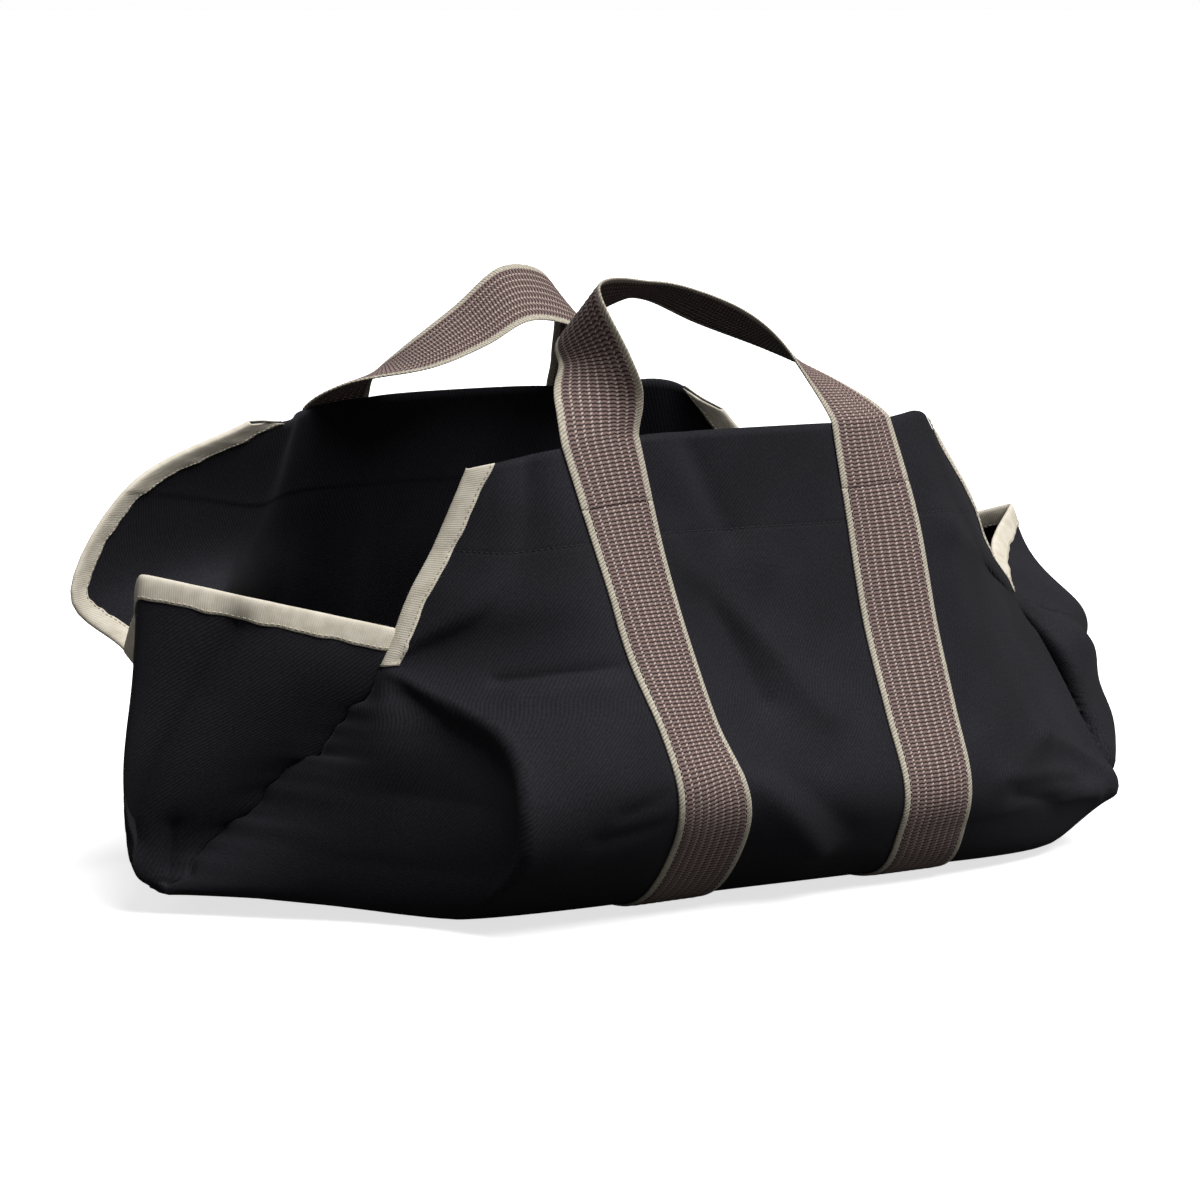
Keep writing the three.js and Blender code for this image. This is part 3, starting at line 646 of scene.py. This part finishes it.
wallMiddle = wrapColumns[:, list(strapColumns.values())].mean(1)
fineAlong = np.linspace(0, lastSection, sampling["panelAlong"])
fineLengths = runLengths(lineAt(wallMiddle, fineAlong))
panelLength = fineLengths[-1]
rowCrowd = 1 + panel["rowCrowding"] * np.interp(nearSection(fineAlong), panel["crowdSections"], (0, 1, 1, 0))
panelRuns = crowdedPlaces(fineLengths, rowCrowd, panel["rows"])
fromHem = np.abs(np.minimum(panelRuns, panelLength - panelRuns) - panel["hemDepth"])
hemRows = panel["hemDepth"] + panel["hemRowStep"] * np.array(panel["hemRows"])
panelRuns = np.concatenate([panelRuns[fromHem > panel["hemClear"]], hemRows, panelLength - hemRows])
panelRuns = np.sort(panelRuns)
panelAlong = np.interp(panelRuns, fineLengths, fineAlong)
fromRim = np.minimum(panelRuns, panelLength - panelRuns)
panelAcross, panelPlaces = spreadAcross(panelAlong)
panelWidths = panelPlaces[:, -1:]
panelGrid = clothPoints(panelAcross, panelAlong)
panelNormals = gridNormals(panelGrid)
fromEdge = np.minimum(panelPlaces, panelWidths - panelPlaces)
fromStrap = np.full(panelPlaces.shape, np.inf)
for column in strapColumns.values():
    middle = [np.interp(column, across, places) for across, places in zip(panelAcross, panelPlaces)]
    fromStrap = np.minimum(fromStrap, np.abs(panelPlaces - np.array(middle)[:, None]) - weave["width"] / 2)
besideStrap = 1 - np.exp(-np.maximum(fromStrap, 0) / panel["swellReach"])
aboveFloor = np.interp(nearSection(panelAlong), panel["floorSections"], (1, 0))[:, None]
swell = panel["strapSwell"] * np.clip(fromEdge / panel["swellFade"], 0, 1) * aboveFloor
swell = (swell + foldDepths(panelGrid, panelFolds, clothPoints)) * besideStrap
grooveWidth = panel["hemRowStep"] / panel["grooveSharpness"]
swell -= panel["stitchGroove"] * np.exp(-((fromRim - panel["hemDepth"]) / grooveWidth) ** 2)[:, None]
onFloor = panelGrid[..., 2] <= baseHeight
panelGrid = panelGrid + panelNormals * np.where(onFloor, 0, swell)[..., None]
seamed = np.interp(nearSection(panelAlong), panel["seamedSections"], (0, 1))[:, None]
for fromSeam, column in ((panelPlaces, 0), (panelWidths - panelPlaces, -1)):
    gathers = seamGathers(fromSeam, runLengths(panelGrid[:, column])[:, None], 0.0)
    panelGrid = panelGrid + panelNormals * (gathers * seamed)[..., None]
panelGrid[..., 2] = np.maximum(panelGrid[..., 2], baseHeight)
panelNormals = gridNormals(panelGrid)
hemShare = np.clip((panel["hemDepth"] - fromRim) / panel["hemFade"] + 0.5, 0, 1)[:, None, None]
outerCloth = panelGrid + panelNormals * clothThickness / 2
innerCloth = panelGrid - panelNormals * (clothThickness / 2 + panel["hemThickness"] * hemShare)
panelUv = gridUv(panelPlaces - panelWidths / 2, panelRuns[:, None])
mainPanel = addSheet("main_cloth", outerCloth, innerCloth, panelUv, twillMaterial, "cloth", "main_panel")
mainPanel.cycles.shadow_terminator_geometry_offset = panel["shadeOffset"]
print("main panel made:", len(mainPanel.data.polygons), "faces")


# End panels
ends = {
    # ridge from the peak to the foot: x, z, bulge of the cloth beside it
    "left": ((-313, 193, 0), (-318, 138, 3), (-328, 84, 4), (-330, 48, 4), (-322, 25, 2), (-309, 15, 0)),
    "right": ((331, 186, -8), (349, 136, 16), (356, 88, 12), (353, 49, 6), (347, 26, 2), (339, 15, 0)),
    "peakHeights": (0, 0.3, 1),  # the peak is folded sharper than the cloth lower down
    "peakSlopes": (0.25, 0.7, 1.0),
    "topSections": {"left": (2.45, 2.95), "right": (2.85, 2.85)},  # at the front and the rear seam
    "rows": 70,
    "cells": 90,
    "seamReach": 7.0,  # mm over which the cloth bends to meet its seam
    "seamedHeights": (0.08, 0.14),  # the gathers begin below the tape
    "gatherPhase": 2.0,
}
endFolds = {
    "slantingHollow": (0.3, 0.42, 0.06, 0.62, 7, 2, -8),
    "lowHollow": (0.25, 0.1, 0.6, 0.86, 6, 2, -5),
    "rearHollow": (0.72, 0.62, 0.1, 0.6, 12, 10, -5),
}


def seamPlaces(side, heights):
    front, rear = (top + (sectionOf["base"] - top) * heights for top in ends["topSections"][side])
    return front, lastSection - rear


def endPoints(side, shares, heights):
    ridge = lineAt(ends[side], heights * (len(ends[side]) - 1))
    column = 0 if side == "left" else lastColumn
    frontSeam, rearSeam = (lineAt(wrapColumns[:, column], along) for along in seamPlaces(side, heights))
    top = stacked(ridge[:, 0], 0, ridge[:, 1])

    def swelled(seam):
        outwards = stacked(np.sign(ridge[:, 0]), np.sign(seam[:, 1]), 0)
        return (seam + top) / 2 + unit(outwards) * ridge[:, 2:]

    rows = np.stack([frontSeam, swelled(frontSeam), top, swelled(rearSeam), rearSeam], axis=1)
    slopes = np.gradient(rows, axis=1)
    slopes[:, 2] *= np.interp(heights, ends["peakHeights"], ends["peakSlopes"])[:, None]  # at the ridge
    return acrossRows(rows, slopes, shares * (rows.shape[1] - 1))


endGrids, endPieces = {}, {}
heights = np.linspace(0, 1, ends["rows"] + 1)
whole = np.linspace(0, 1, ends["cells"] + 1)[None]
for side in ("left", "right"):
    grid = endPoints(side, whole, heights)
    widths = acrossLengths(grid)[:, -1:]
    if side == "left":
        grid = grid[:, ::-1]
        grid = grid + gridNormals(grid) * foldDepths(grid, endFolds, partial(endPoints, side))[..., None]
    fromSeam = np.minimum(whole, 1 - whole) * widths
    place = runLengths(grid[:, 0])[:, None]
    seamed = np.interp(heights, ends["seamedHeights"], (0, 1))[:, None]
    gathers = seamGathers(fromSeam, place, ends["gatherPhase"]) * seamed
    grid = grid + gridNormals(grid) * gathers[..., None]

    # the two slanting sides and the foot meet the main panel's edge
    panelEdge = panelGrid[:, 0 if side == "left" else -1]
    firstAlong, lastAlong = seamPlaces(side, heights)
    footAlong = np.linspace(sectionOf["base"], lastSection - sectionOf["base"], ends["cells"] + 1)
    if side == "left":
        firstAlong, lastAlong, footAlong = lastAlong, firstAlong, footAlong[::-1]
    firstSeam, lastSeam, footSeam = (
        rowsAt(places, panelAlong, panelEdge) for places in (firstAlong, lastAlong, footAlong))
    nearFirst = np.exp(-whole * widths / ends["seamReach"])[..., None]
    nearLast = np.exp(-(1 - whole) * widths / ends["seamReach"])[..., None]
    grid = grid + (firstSeam - grid[:, 0])[:, None] * nearFirst + (lastSeam - grid[:, -1])[:, None] * nearLast
    grid[:, 0], grid[:, -1] = firstSeam, lastSeam
    down = runLengths(grid[:, ends["cells"] // 2])
    nearFoot = np.exp((down - down[-1]) / ends["seamReach"])[:, None, None]
    grid = grid + (footSeam - grid[-1])[None] * nearFoot
    normals = gridNormals(grid)
    endGrids[side] = (grid, normals)
    half = normals * clothThickness / 2
    uv = gridUv((whole - 0.5) * widths, down[:, None])
    endPieces[side] = addSheet(
        f"end_cloth_{side}", grid + half, grid - half, uv, twillMaterial, "cloth", f"end_panel_{side}")
    print("end panel made:", side, widths.max().round(), "by", down[-1].round(), "mm")


# Webbing section: cords at both edges and eight columns of floats between them, in mm
webbing = {
    "cordPoints": 6,
    "cordHeights": (0.15, 0.7, 0.08),  # at its sides, more at its middle, and how much each pick swells it
    # share of a column, height, swell with each pick, and picks that the swell is shifted by
    "columnPoints": ((0.0, 0.55, 0.16, 0.5), (0.2, 0.75, 0.2, 0.0), (0.5, 0.9, 0.26, 0.0), (0.8, 0.75, 0.2, 0.0)),
    "underside": 0.7,  # from a strap's middle to its flat side on the cloth
    "lift": clothThickness / 2 + gap + 0.8,  # from the cloth's middle to the webbing's
    "stitchSection": 2 / 3,  # where the straps end and the handles begin
    "reach": 0.6,  # columns to each side that its width is measured over
}
rowStep = weave["weftPitch"] / 2


def webbingProfile():
    cord, width = weave["cordWidth"], weave["width"]
    angles = np.pi * np.arange(webbing["cordPoints"]) / webbing["cordPoints"]
    low, rise, swell = webbing["cordHeights"]
    cordSide = stacked(cord / 2 * (1 - np.cos(angles)), low + rise * np.sin(angles), swell * np.sin(angles), 0)
    columns = [(cord + (column + share) * columnPitch, *rest)
               for column in range(weave["columns"]) for share, *rest in webbing["columnPoints"]]
    last = (width - cord, *webbing["columnPoints"][0][1:])
    return np.concatenate([cordSide, columns, [last], (cordSide * (-1, 1, 1, 1) + (width, 0, 0, 0))[::-1]]).T


webPlaces, webHeights, webSwell, webPhase = webbingProfile()


def webbingMesh(kind, which, centres, normals, bothSides):
    # centres and normals: one row for each half pick, one column for each place across the webbing
    rows = np.arange(len(centres))
    picks = rows[:, None] / 2
    wave = -np.cos(2 * np.pi * (picks + webPhase))
    fromEnd = np.minimum(rows, rows[::-1])[:, None] * rowStep
    pinch = 1 - weave["pinchDepth"] * np.exp(-(fromEnd / weave["pinchReach"]) ** 2)
    relief = webHeights + webSwell * wave
    outer = centres + normals * (relief * pinch)[..., None]
    inner = centres - normals * (relief[..., None] if bothSides else webbing["underside"])
    uv = gridUv(webPlaces, picks * weave["weftPitch"])
    addSheet(f"{kind}_webbing_{which}", outer, inner, uv, webbingMaterial, "webbing", f"{kind}_{which}")


def strapSurface(side, along):
    # the cloth's surface under the webbing, at each place across it
    fine = strapColumns[side] + np.linspace(-1, 1, sampling["strapAcross"]) * webbing["reach"]
    across = [np.interp(run[len(fine) // 2] + webPlaces - weave["width"] / 2, run, fine)
              for run in acrossLengths(clothPoints(fine[None], along))]
    grid = clothPoints(np.array(across), along)
    return grid, gridNormals(grid)


strapRows = {}
for side, column in strapColumns.items():
    fine = np.linspace(webbing["stitchSection"], lastSection - webbing["stitchSection"], sampling["strapAlong"])
    lengths = runLengths(lineAt(wrapColumns[:, column], fine))
    count = round(lengths[-1] / rowStep)
    along = np.interp(np.linspace(0, lengths[-1], count + 1), lengths, fine)
    grid, normals = strapSurface(side, along)
    grid = grid + normals * webbing["lift"]
    webbingMesh("strap", side, grid, normals, False)
    strapRows[side] = (along, grid, normals)
    print("strap made:", side, len(along), "rows")


# Handles: the free stretch from left to right: x, y, z of its middle, turn of its width, dip of its inner edge
handleBends = {
    "front": ((-95, -132, 287, 26, 0), (-91, -122, 309, 70, 10), (-90, -106, 336, 88, 41),
              (-47, -97, 345, 98, 18), (-20, -95, 343, 92, 10), (15, -98, 329, 93, 12),
              (49, -107, 311, 120, 11), (77, -121, 288, 152, 5)),
    "rear": ((-86, 127, 281, 40, 0), (-60, 106, 294, 78, 9), (-25, 100, 312, 82, 24), (8, 97, 331, 84, 38),
             (44, 100, 325, 90, 40), (74, 114, 302, 118, 24), (88, 130, 284, 150, 4)),
}
handleFlatten = 30.0  # mm over which the webbing loses the wall's curve


def handleLeg(side, rear):
    # rows from the stitch line up to the rim
    along = np.linspace(0, webbing["stitchSection"], sampling["leg"])
    grid, normals = strapSurface(side, lastSection - along[::-1] if rear else along)
    leg = grid + normals * webbing["lift"]
    return leg if rear else leg[::-1]


for wall, bends in handleBends.items():
    rear = wall == "rear"
    facing = 1 if rear else -1
    leftLeg, rightLeg = handleLeg("left", rear), handleLeg("right", rear)
    halfway = sampling["leg"] // 2
    bends = np.array(bends, float)

    def legTwist(row):
        width = unit(row[-1] - row[0])
        return math.degrees(math.atan2(facing * width[1], width[0])), math.degrees(math.asin(width[2]))

    leftTwist = legTwist(leftLeg[-1])
    rightTurn, rightDip = legTwist(rightLeg[-1])
    rightTwist = (180 + rightTurn, -rightDip)
    middles = np.concatenate([leftLeg[[-halfway, -1]].mean(1), bends[:, :3], rightLeg[[-1, -halfway]].mean(1)])
    twists = np.concatenate([[leftTwist, leftTwist], bends[:, 3:], [rightTwist, rightTwist]])
    places = np.linspace(1, len(middles) - 2, sampling["handle"])
    middle, twist = lineAt(middles, places), np.radians(lineAt(twists, places))
    turn, dip = twist.T
    width = stacked(np.cos(turn) * np.cos(dip), facing * np.sin(turn) * np.cos(dip), np.sin(dip))
    free = middle[:, None] + width[:, None] * (webPlaces - weave["width"] / 2)[:, None]
    fromLeft = runLengths(middle)
    fromRight = fromLeft[-1] - fromLeft
    for reach, curved, straight in ((fromLeft, leftLeg[-1], free[0]), (fromRight, rightLeg[-1, ::-1], free[-1])):
        keep = np.clip(1 - reach / handleFlatten, 0, 1) ** 2
        free = free + (curved - straight)[None] * keep[:, None, None]
    rows = np.concatenate([leftLeg, free[1:-1], rightLeg[::-1, ::-1]])
    lengths = runLengths(rows[:, len(webPlaces) // 2])
    count = int(lengths[-1] // rowStep)
    even = rowsAt(np.linspace(0, lengths[-1], count + 1), lengths, rows)
    grid = even[::-1, ::-1] if rear else even[::-1]
    webbingMesh("handle", wall, grid, gridNormals(grid), True)
    print("handle made:", wall, count, "rows")


# Binding tape, folded over an edge: in mm from the edge inwards and above the cloth's middle
tape = {
    "outside": ((12.5, 0.95), (12.3, 1.5), (11.0, 1.65), (8.0, 1.75), (4.0, 1.75), (1.6, 1.65), (0.2, 1.35),
                (-0.8, 0.75), (-1.1, 0.0)),  # to the fold; the other side mirrors it
    "lining": ((6.0, -0.95), (0.6, -0.9), (0.0, 0.0), (0.6, 0.9), (6.0, 0.95)),
    "stitchPoints": (2, 14),  # points of the section that the stitches run along, outside and inside
    "step": 1.5,  # mm
    "cells": 28,  # cells of cloth under the tape, and more
    "acrossCell": 4,  # the cell that shows which way the cloth runs from its edge
    "leastSlant": 0.35,  # how square to the edge that way counts as, at the least
    "waves": ((31.0, 1.0, 1.0), (17.0, 0.6, 0.0)),  # length in mm, height and phase of its unevenness
    "unevenWidth": 0.03,
    "unevenLift": 0.1,
}
tapeOutside = np.array(tape["outside"])
tapeShell = np.concatenate([tapeOutside, tapeOutside[-2::-1] * (1, -1)])
tapeSection = np.concatenate([tapeShell, tape["lining"]])


def tapeMesh(edgeName, lines, normalLines, backing):
    # lines and normalLines: for each place along the edge, the cloth from that edge inwards
    # backing: how much thicker a hem makes the cloth there
    edge = lines[:, 0]
    run = unit(np.gradient(edge, axis=0))
    across = lines[:, tape["acrossCell"]] - edge
    square = squareTo(run, across)
    slant = np.linalg.norm(square, axis=-1) / np.linalg.norm(across, axis=-1)
    slant = np.maximum(slant, tape["leastSlant"])
    square = unit(square)
    places = runLengths(edge)
    waver = sum(height * np.sin(2 * np.pi * places / length + phase) for length, height, phase in tape["waves"])
    rings = np.empty((len(lines), len(tapeSection), 3))
    for r in range(len(lines)):
        reach = runLengths(lines[r])
        inward = tapeSection[:, 0] * (1 + tape["unevenWidth"] * waver[r])
        distance = np.clip(inward, 0, None) / slant[r]
        base = rowsAt(distance, reach, lines[r])
        normal = unit(rowsAt(distance, reach, normalLines[r]))
        fromFold = np.clip(inward / tapeSection[0, 0], 0, 1)
        lift = tapeSection[:, 1] * (1 + tape["unevenLift"] * waver[r] * fromFold)
        lift = lift - backing[r] * (lift < 0)
        rings[r] = base + square[r] * np.minimum(inward, 0)[:, None] + normal * lift[:, None]
    index = numbered(rings.shape[:2])
    following = np.roll(index, -1, axis=1)
    faces = stacked(index[:-1], index[1:], following[1:], following[:-1]).reshape(-1, 4).tolist()
    outer = len(tapeShell)
    for ring, flip in ((index[0].tolist(), False), (index[-1].tolist(), True)):  # close both ends
        shell, lining = ring[:outer], [ring[0]] + ring[:outer - 1:-1] + [ring[outer - 1]]
        picks = np.round(np.linspace(0, len(lining) - 1, outer)).astype(int)
        for k in range(outer - 1):
            corners = list(dict.fromkeys([shell[k], shell[k + 1], lining[picks[k + 1]], lining[picks[k]]]))
            if len(corners) > 2:
                faces.append(corners[::-1] if flip else corners)
    if np.einsum("ij,ij->i", np.cross(run, square), normalLines[:, 0]).mean() < 0:
        faces = [face[::-1] for face in faces]
    points, uv = rings.reshape(-1, 3), gridUv(runLengths(tapeSection), places[:, None])
    addMesh(f"binding_tape_{edgeName}", points, faces, uv, tapeMaterial, "tape", f"binding_{edgeName}")
    outside, inside = (rings[:, point] for point in tape["stitchPoints"])
    return [(outside, unit(outside - inside)), (inside, unit(inside - outside))]


def evenRows(*stacks):
    lengths = runLengths(stacks[0][:, 0])
    count = max(int(round(lengths[-1] / tape["step"])), 2)
    return [rowsAt(np.linspace(0, lengths[-1], count + 1), lengths, stack) for stack in stacks]


tapeSeams = []
aboveNotch = nearSection(panelAlong) <= sectionOf["notch"]
for wall in ("front", "rear"):
    row = aboveNotch & ((panelAlong > lastSection / 2) == (wall == "rear"))
    for side in ("left", "right"):
        columns = slice(0, tape["cells"]) if side == "left" else slice(-1, -tape["cells"] - 1, -1)
        lines, normals, backing = evenRows(panelGrid[row][:, columns], panelNormals[row][:, columns],
                                           panel["hemThickness"] * hemShare[row])
        tapeSeams += tapeMesh(f"{wall}_{side}", lines, normals, backing[:, 0, 0])
for side in ("left", "right"):
    lines, normals = evenRows(*(np.swapaxes(stack[:tape["cells"]], 0, 1) for stack in endGrids[side]))
    tapeSeams += tapeMesh(f"end_{side}", lines, normals, np.zeros(len(lines)))
print("binding tapes made")


# Stitches: each a short closed length of thread, arched where it comes out of the cloth
sewing = {
    "pitch": 3.4,  # mm
    "length": 2.9,  # mm
    "thin": 0.34,  # mm, radius
    "thick": 0.6,
    "rise": 0.28,  # mm
    "taper": 0.9,  # how far a stitch thins towards its ends
    "sides": 6,
    "rings": 5,
    "sewnSections": 7,  # the straps are sewn down to the floor
    "clearOfStrap": 2.0,  # mm that the hem's stitches keep from a strap
    "clearOfEdge": 12.0,  # mm, and from the tape
}


def sewStitches(name, seamLines, radius, colourName, slotName):
    # seamLines: points and normals along each seam, on the surface that it is sewn into
    angles = 2 * np.pi * np.arange(sewing["sides"]) / sewing["sides"]
    shares = np.linspace(-0.5, 0.5, sewing["rings"])
    thickness = radius * np.sqrt(1 - sewing["taper"] * (2 * shares) ** 4)
    rise = sewing["rise"] * np.cos(np.pi * shares) - radius / 2
    tubes = []
    for points, normals in seamLines:
        run = runLengths(points)
        count = max(int(run[-1] // sewing["pitch"]), 1)
        middles = (np.arange(count) + 0.5) * run[-1] / count
        places = (middles[:, None] + shares * sewing["length"]).ravel()
        base, up = (rowsAt(places, run, stack).reshape(count, -1, 3) for stack in (points, normals))
        up = unit(up)
        sideways = unit(np.cross(up, unit(base[:, -1:] - base[:, :1])))
        centres = base + up * rise[:, None]
        spokes = sideways[:, :, None] * np.cos(angles)[:, None] + up[:, :, None] * np.sin(angles)[:, None]
        tubes.append(centres[:, :, None] + spokes * thickness[:, None, None])
    tubes = np.concatenate(tubes)
    index = numbered(tubes.shape[:3])
    following = np.roll(index, -1, axis=2)
    walls = stacked(index[:, :-1], following[:, :-1], following[:, 1:], index[:, 1:]).reshape(-1, 4)
    faces = walls.tolist() + index[:, 0, ::-1].tolist() + index[:, -1].tolist()
    uv = np.tile(gridUv(angles * radius, (shares * sewing["length"])[:, None]), (len(tubes), 1))
    addMesh(name, tubes.reshape(-1, 3), faces, uv, threadMaterials[colourName], slotName)
    print("stitches sewn:", name, len(tubes))


def nearest(values, wanted):
    return int(np.argmin(np.abs(values - wanted)))


besideCords = [nearest(webPlaces, place) for place in (weave["cordWidth"], weave["width"] - weave["cordWidth"])]
betweenCords = slice(besideCords[0], besideCords[1] + 1)
crossSeams, cordSeams = [], []
for along, grid, normals in strapRows.values():
    surface = grid + normals * webHeights.min()
    crossSeams += [(surface[row, betweenCords], normals[row, betweenCords]) for row in (0, -1)]
    standing = nearSection(along) < sewing["sewnSections"]
    for wall in (along < lastSection / 2, along > lastSection / 2):
        for column in besideCords:
            beside = grid[:, column] + normals[:, column] * webHeights[column]
            cordSeams.append((beside[standing & wall], normals[standing & wall, column]))
sewStitches("stitches_across_straps", crossSeams, sewing["thick"], "brown", "webbing")
sewStitches("stitches_beside_cords", cordSeams, sewing["thin"], "brown", "webbing")

hemSeams = []
for row in (nearest(panelRuns, panel["hemDepth"]), nearest(panelRuns, panelLength - panel["hemDepth"])):
    free = (fromStrap[row] > sewing["clearOfStrap"]) & (fromEdge[row] > sewing["clearOfEdge"])
    for stretch in np.split(np.arange(len(free)), np.flatnonzero(np.diff(free.astype(int))) + 1):
        if free[stretch[0]]:
            hemSeams.append((outerCloth[row, stretch], panelNormals[row, stretch]))
sewStitches("stitches_along_hems", hemSeams, sewing["thin"], "black", "cloth")
sewStitches("stitches_along_tapes", tapeSeams, sewing["thin"], "beige", "tape")


# Stage and light
stage = {
    "floorSize": 6000.0,  # metres
    "paper": "#ffffff",
    "paperBounce": "#484848",
    "paperGlow": 0.72,  # the paper glows to the camera alone, washing out the bag's cast shadow on it
    "paperRoughness": 0.9,
    "sky": 0.12,
    "backdrop": 0.985,
}
scene.view_settings.view_transform = "Standard"
floorMesh = bpy.data.meshes.new("studio_floor")
half = stage["floorSize"] / 2
corners = [(-half, -half, 0), (half, -half, 0), (half, half, 0), (-half, half, 0)]
floorMesh.from_pydata(corners, [], [(0, 1, 2, 3)])
floor = addObject("studio_floor", floorMesh)
floorMaterial, add, finish = newMaterial("paleMattPaper")
seen = add("LightPath", {}, "Is Camera Ray")
# the paper looks white to the camera but bounces light as dark grey, a painted darkening that keeps its light off
# the bag's underside
paper = add("Mix", {0: seen, **shades(stage, "paperBounce", "paper")}, 2, data_type="RGBA")
glow = add("Math", {0: seen, 1: stage["paperGlow"]}, operation="MULTIPLY")
finish({
    "Base Color": paper, "Emission Strength": glow, "Emission Color": linearColour(stage["paper"]),
    "Roughness": stage["paperRoughness"],
})
floorMesh.materials.append(floorMaterial)

world = bpy.data.worlds.new("studioWorld")
scene.world = world
world.use_nodes = True
sky = world.node_tree
backdrop = addNode(sky, "LightPath", {}, "Is Camera Ray")
strength = addNode(sky, "MapRange", ramp(backdrop, 0, 1, stage["sky"], stage["backdrop"]))
setInputs(sky, sky.nodes["Background"], {"Color": linearColour(stage["paper"]), "Strength": strength})

softLight = {"from": (0.14, -0.5, 0.9), "strength": 3.5, "spread": 45.0}  # one wide overhead softbox
lampData = bpy.data.lights.new("overheadSoftbox", "SUN")
lampData.energy = softLight["strength"]
lampData.angle = math.radians(softLight["spread"])
faceAway(addObject("overheadSoftbox", lampData), softLight["from"])
print("stage and lamp set")
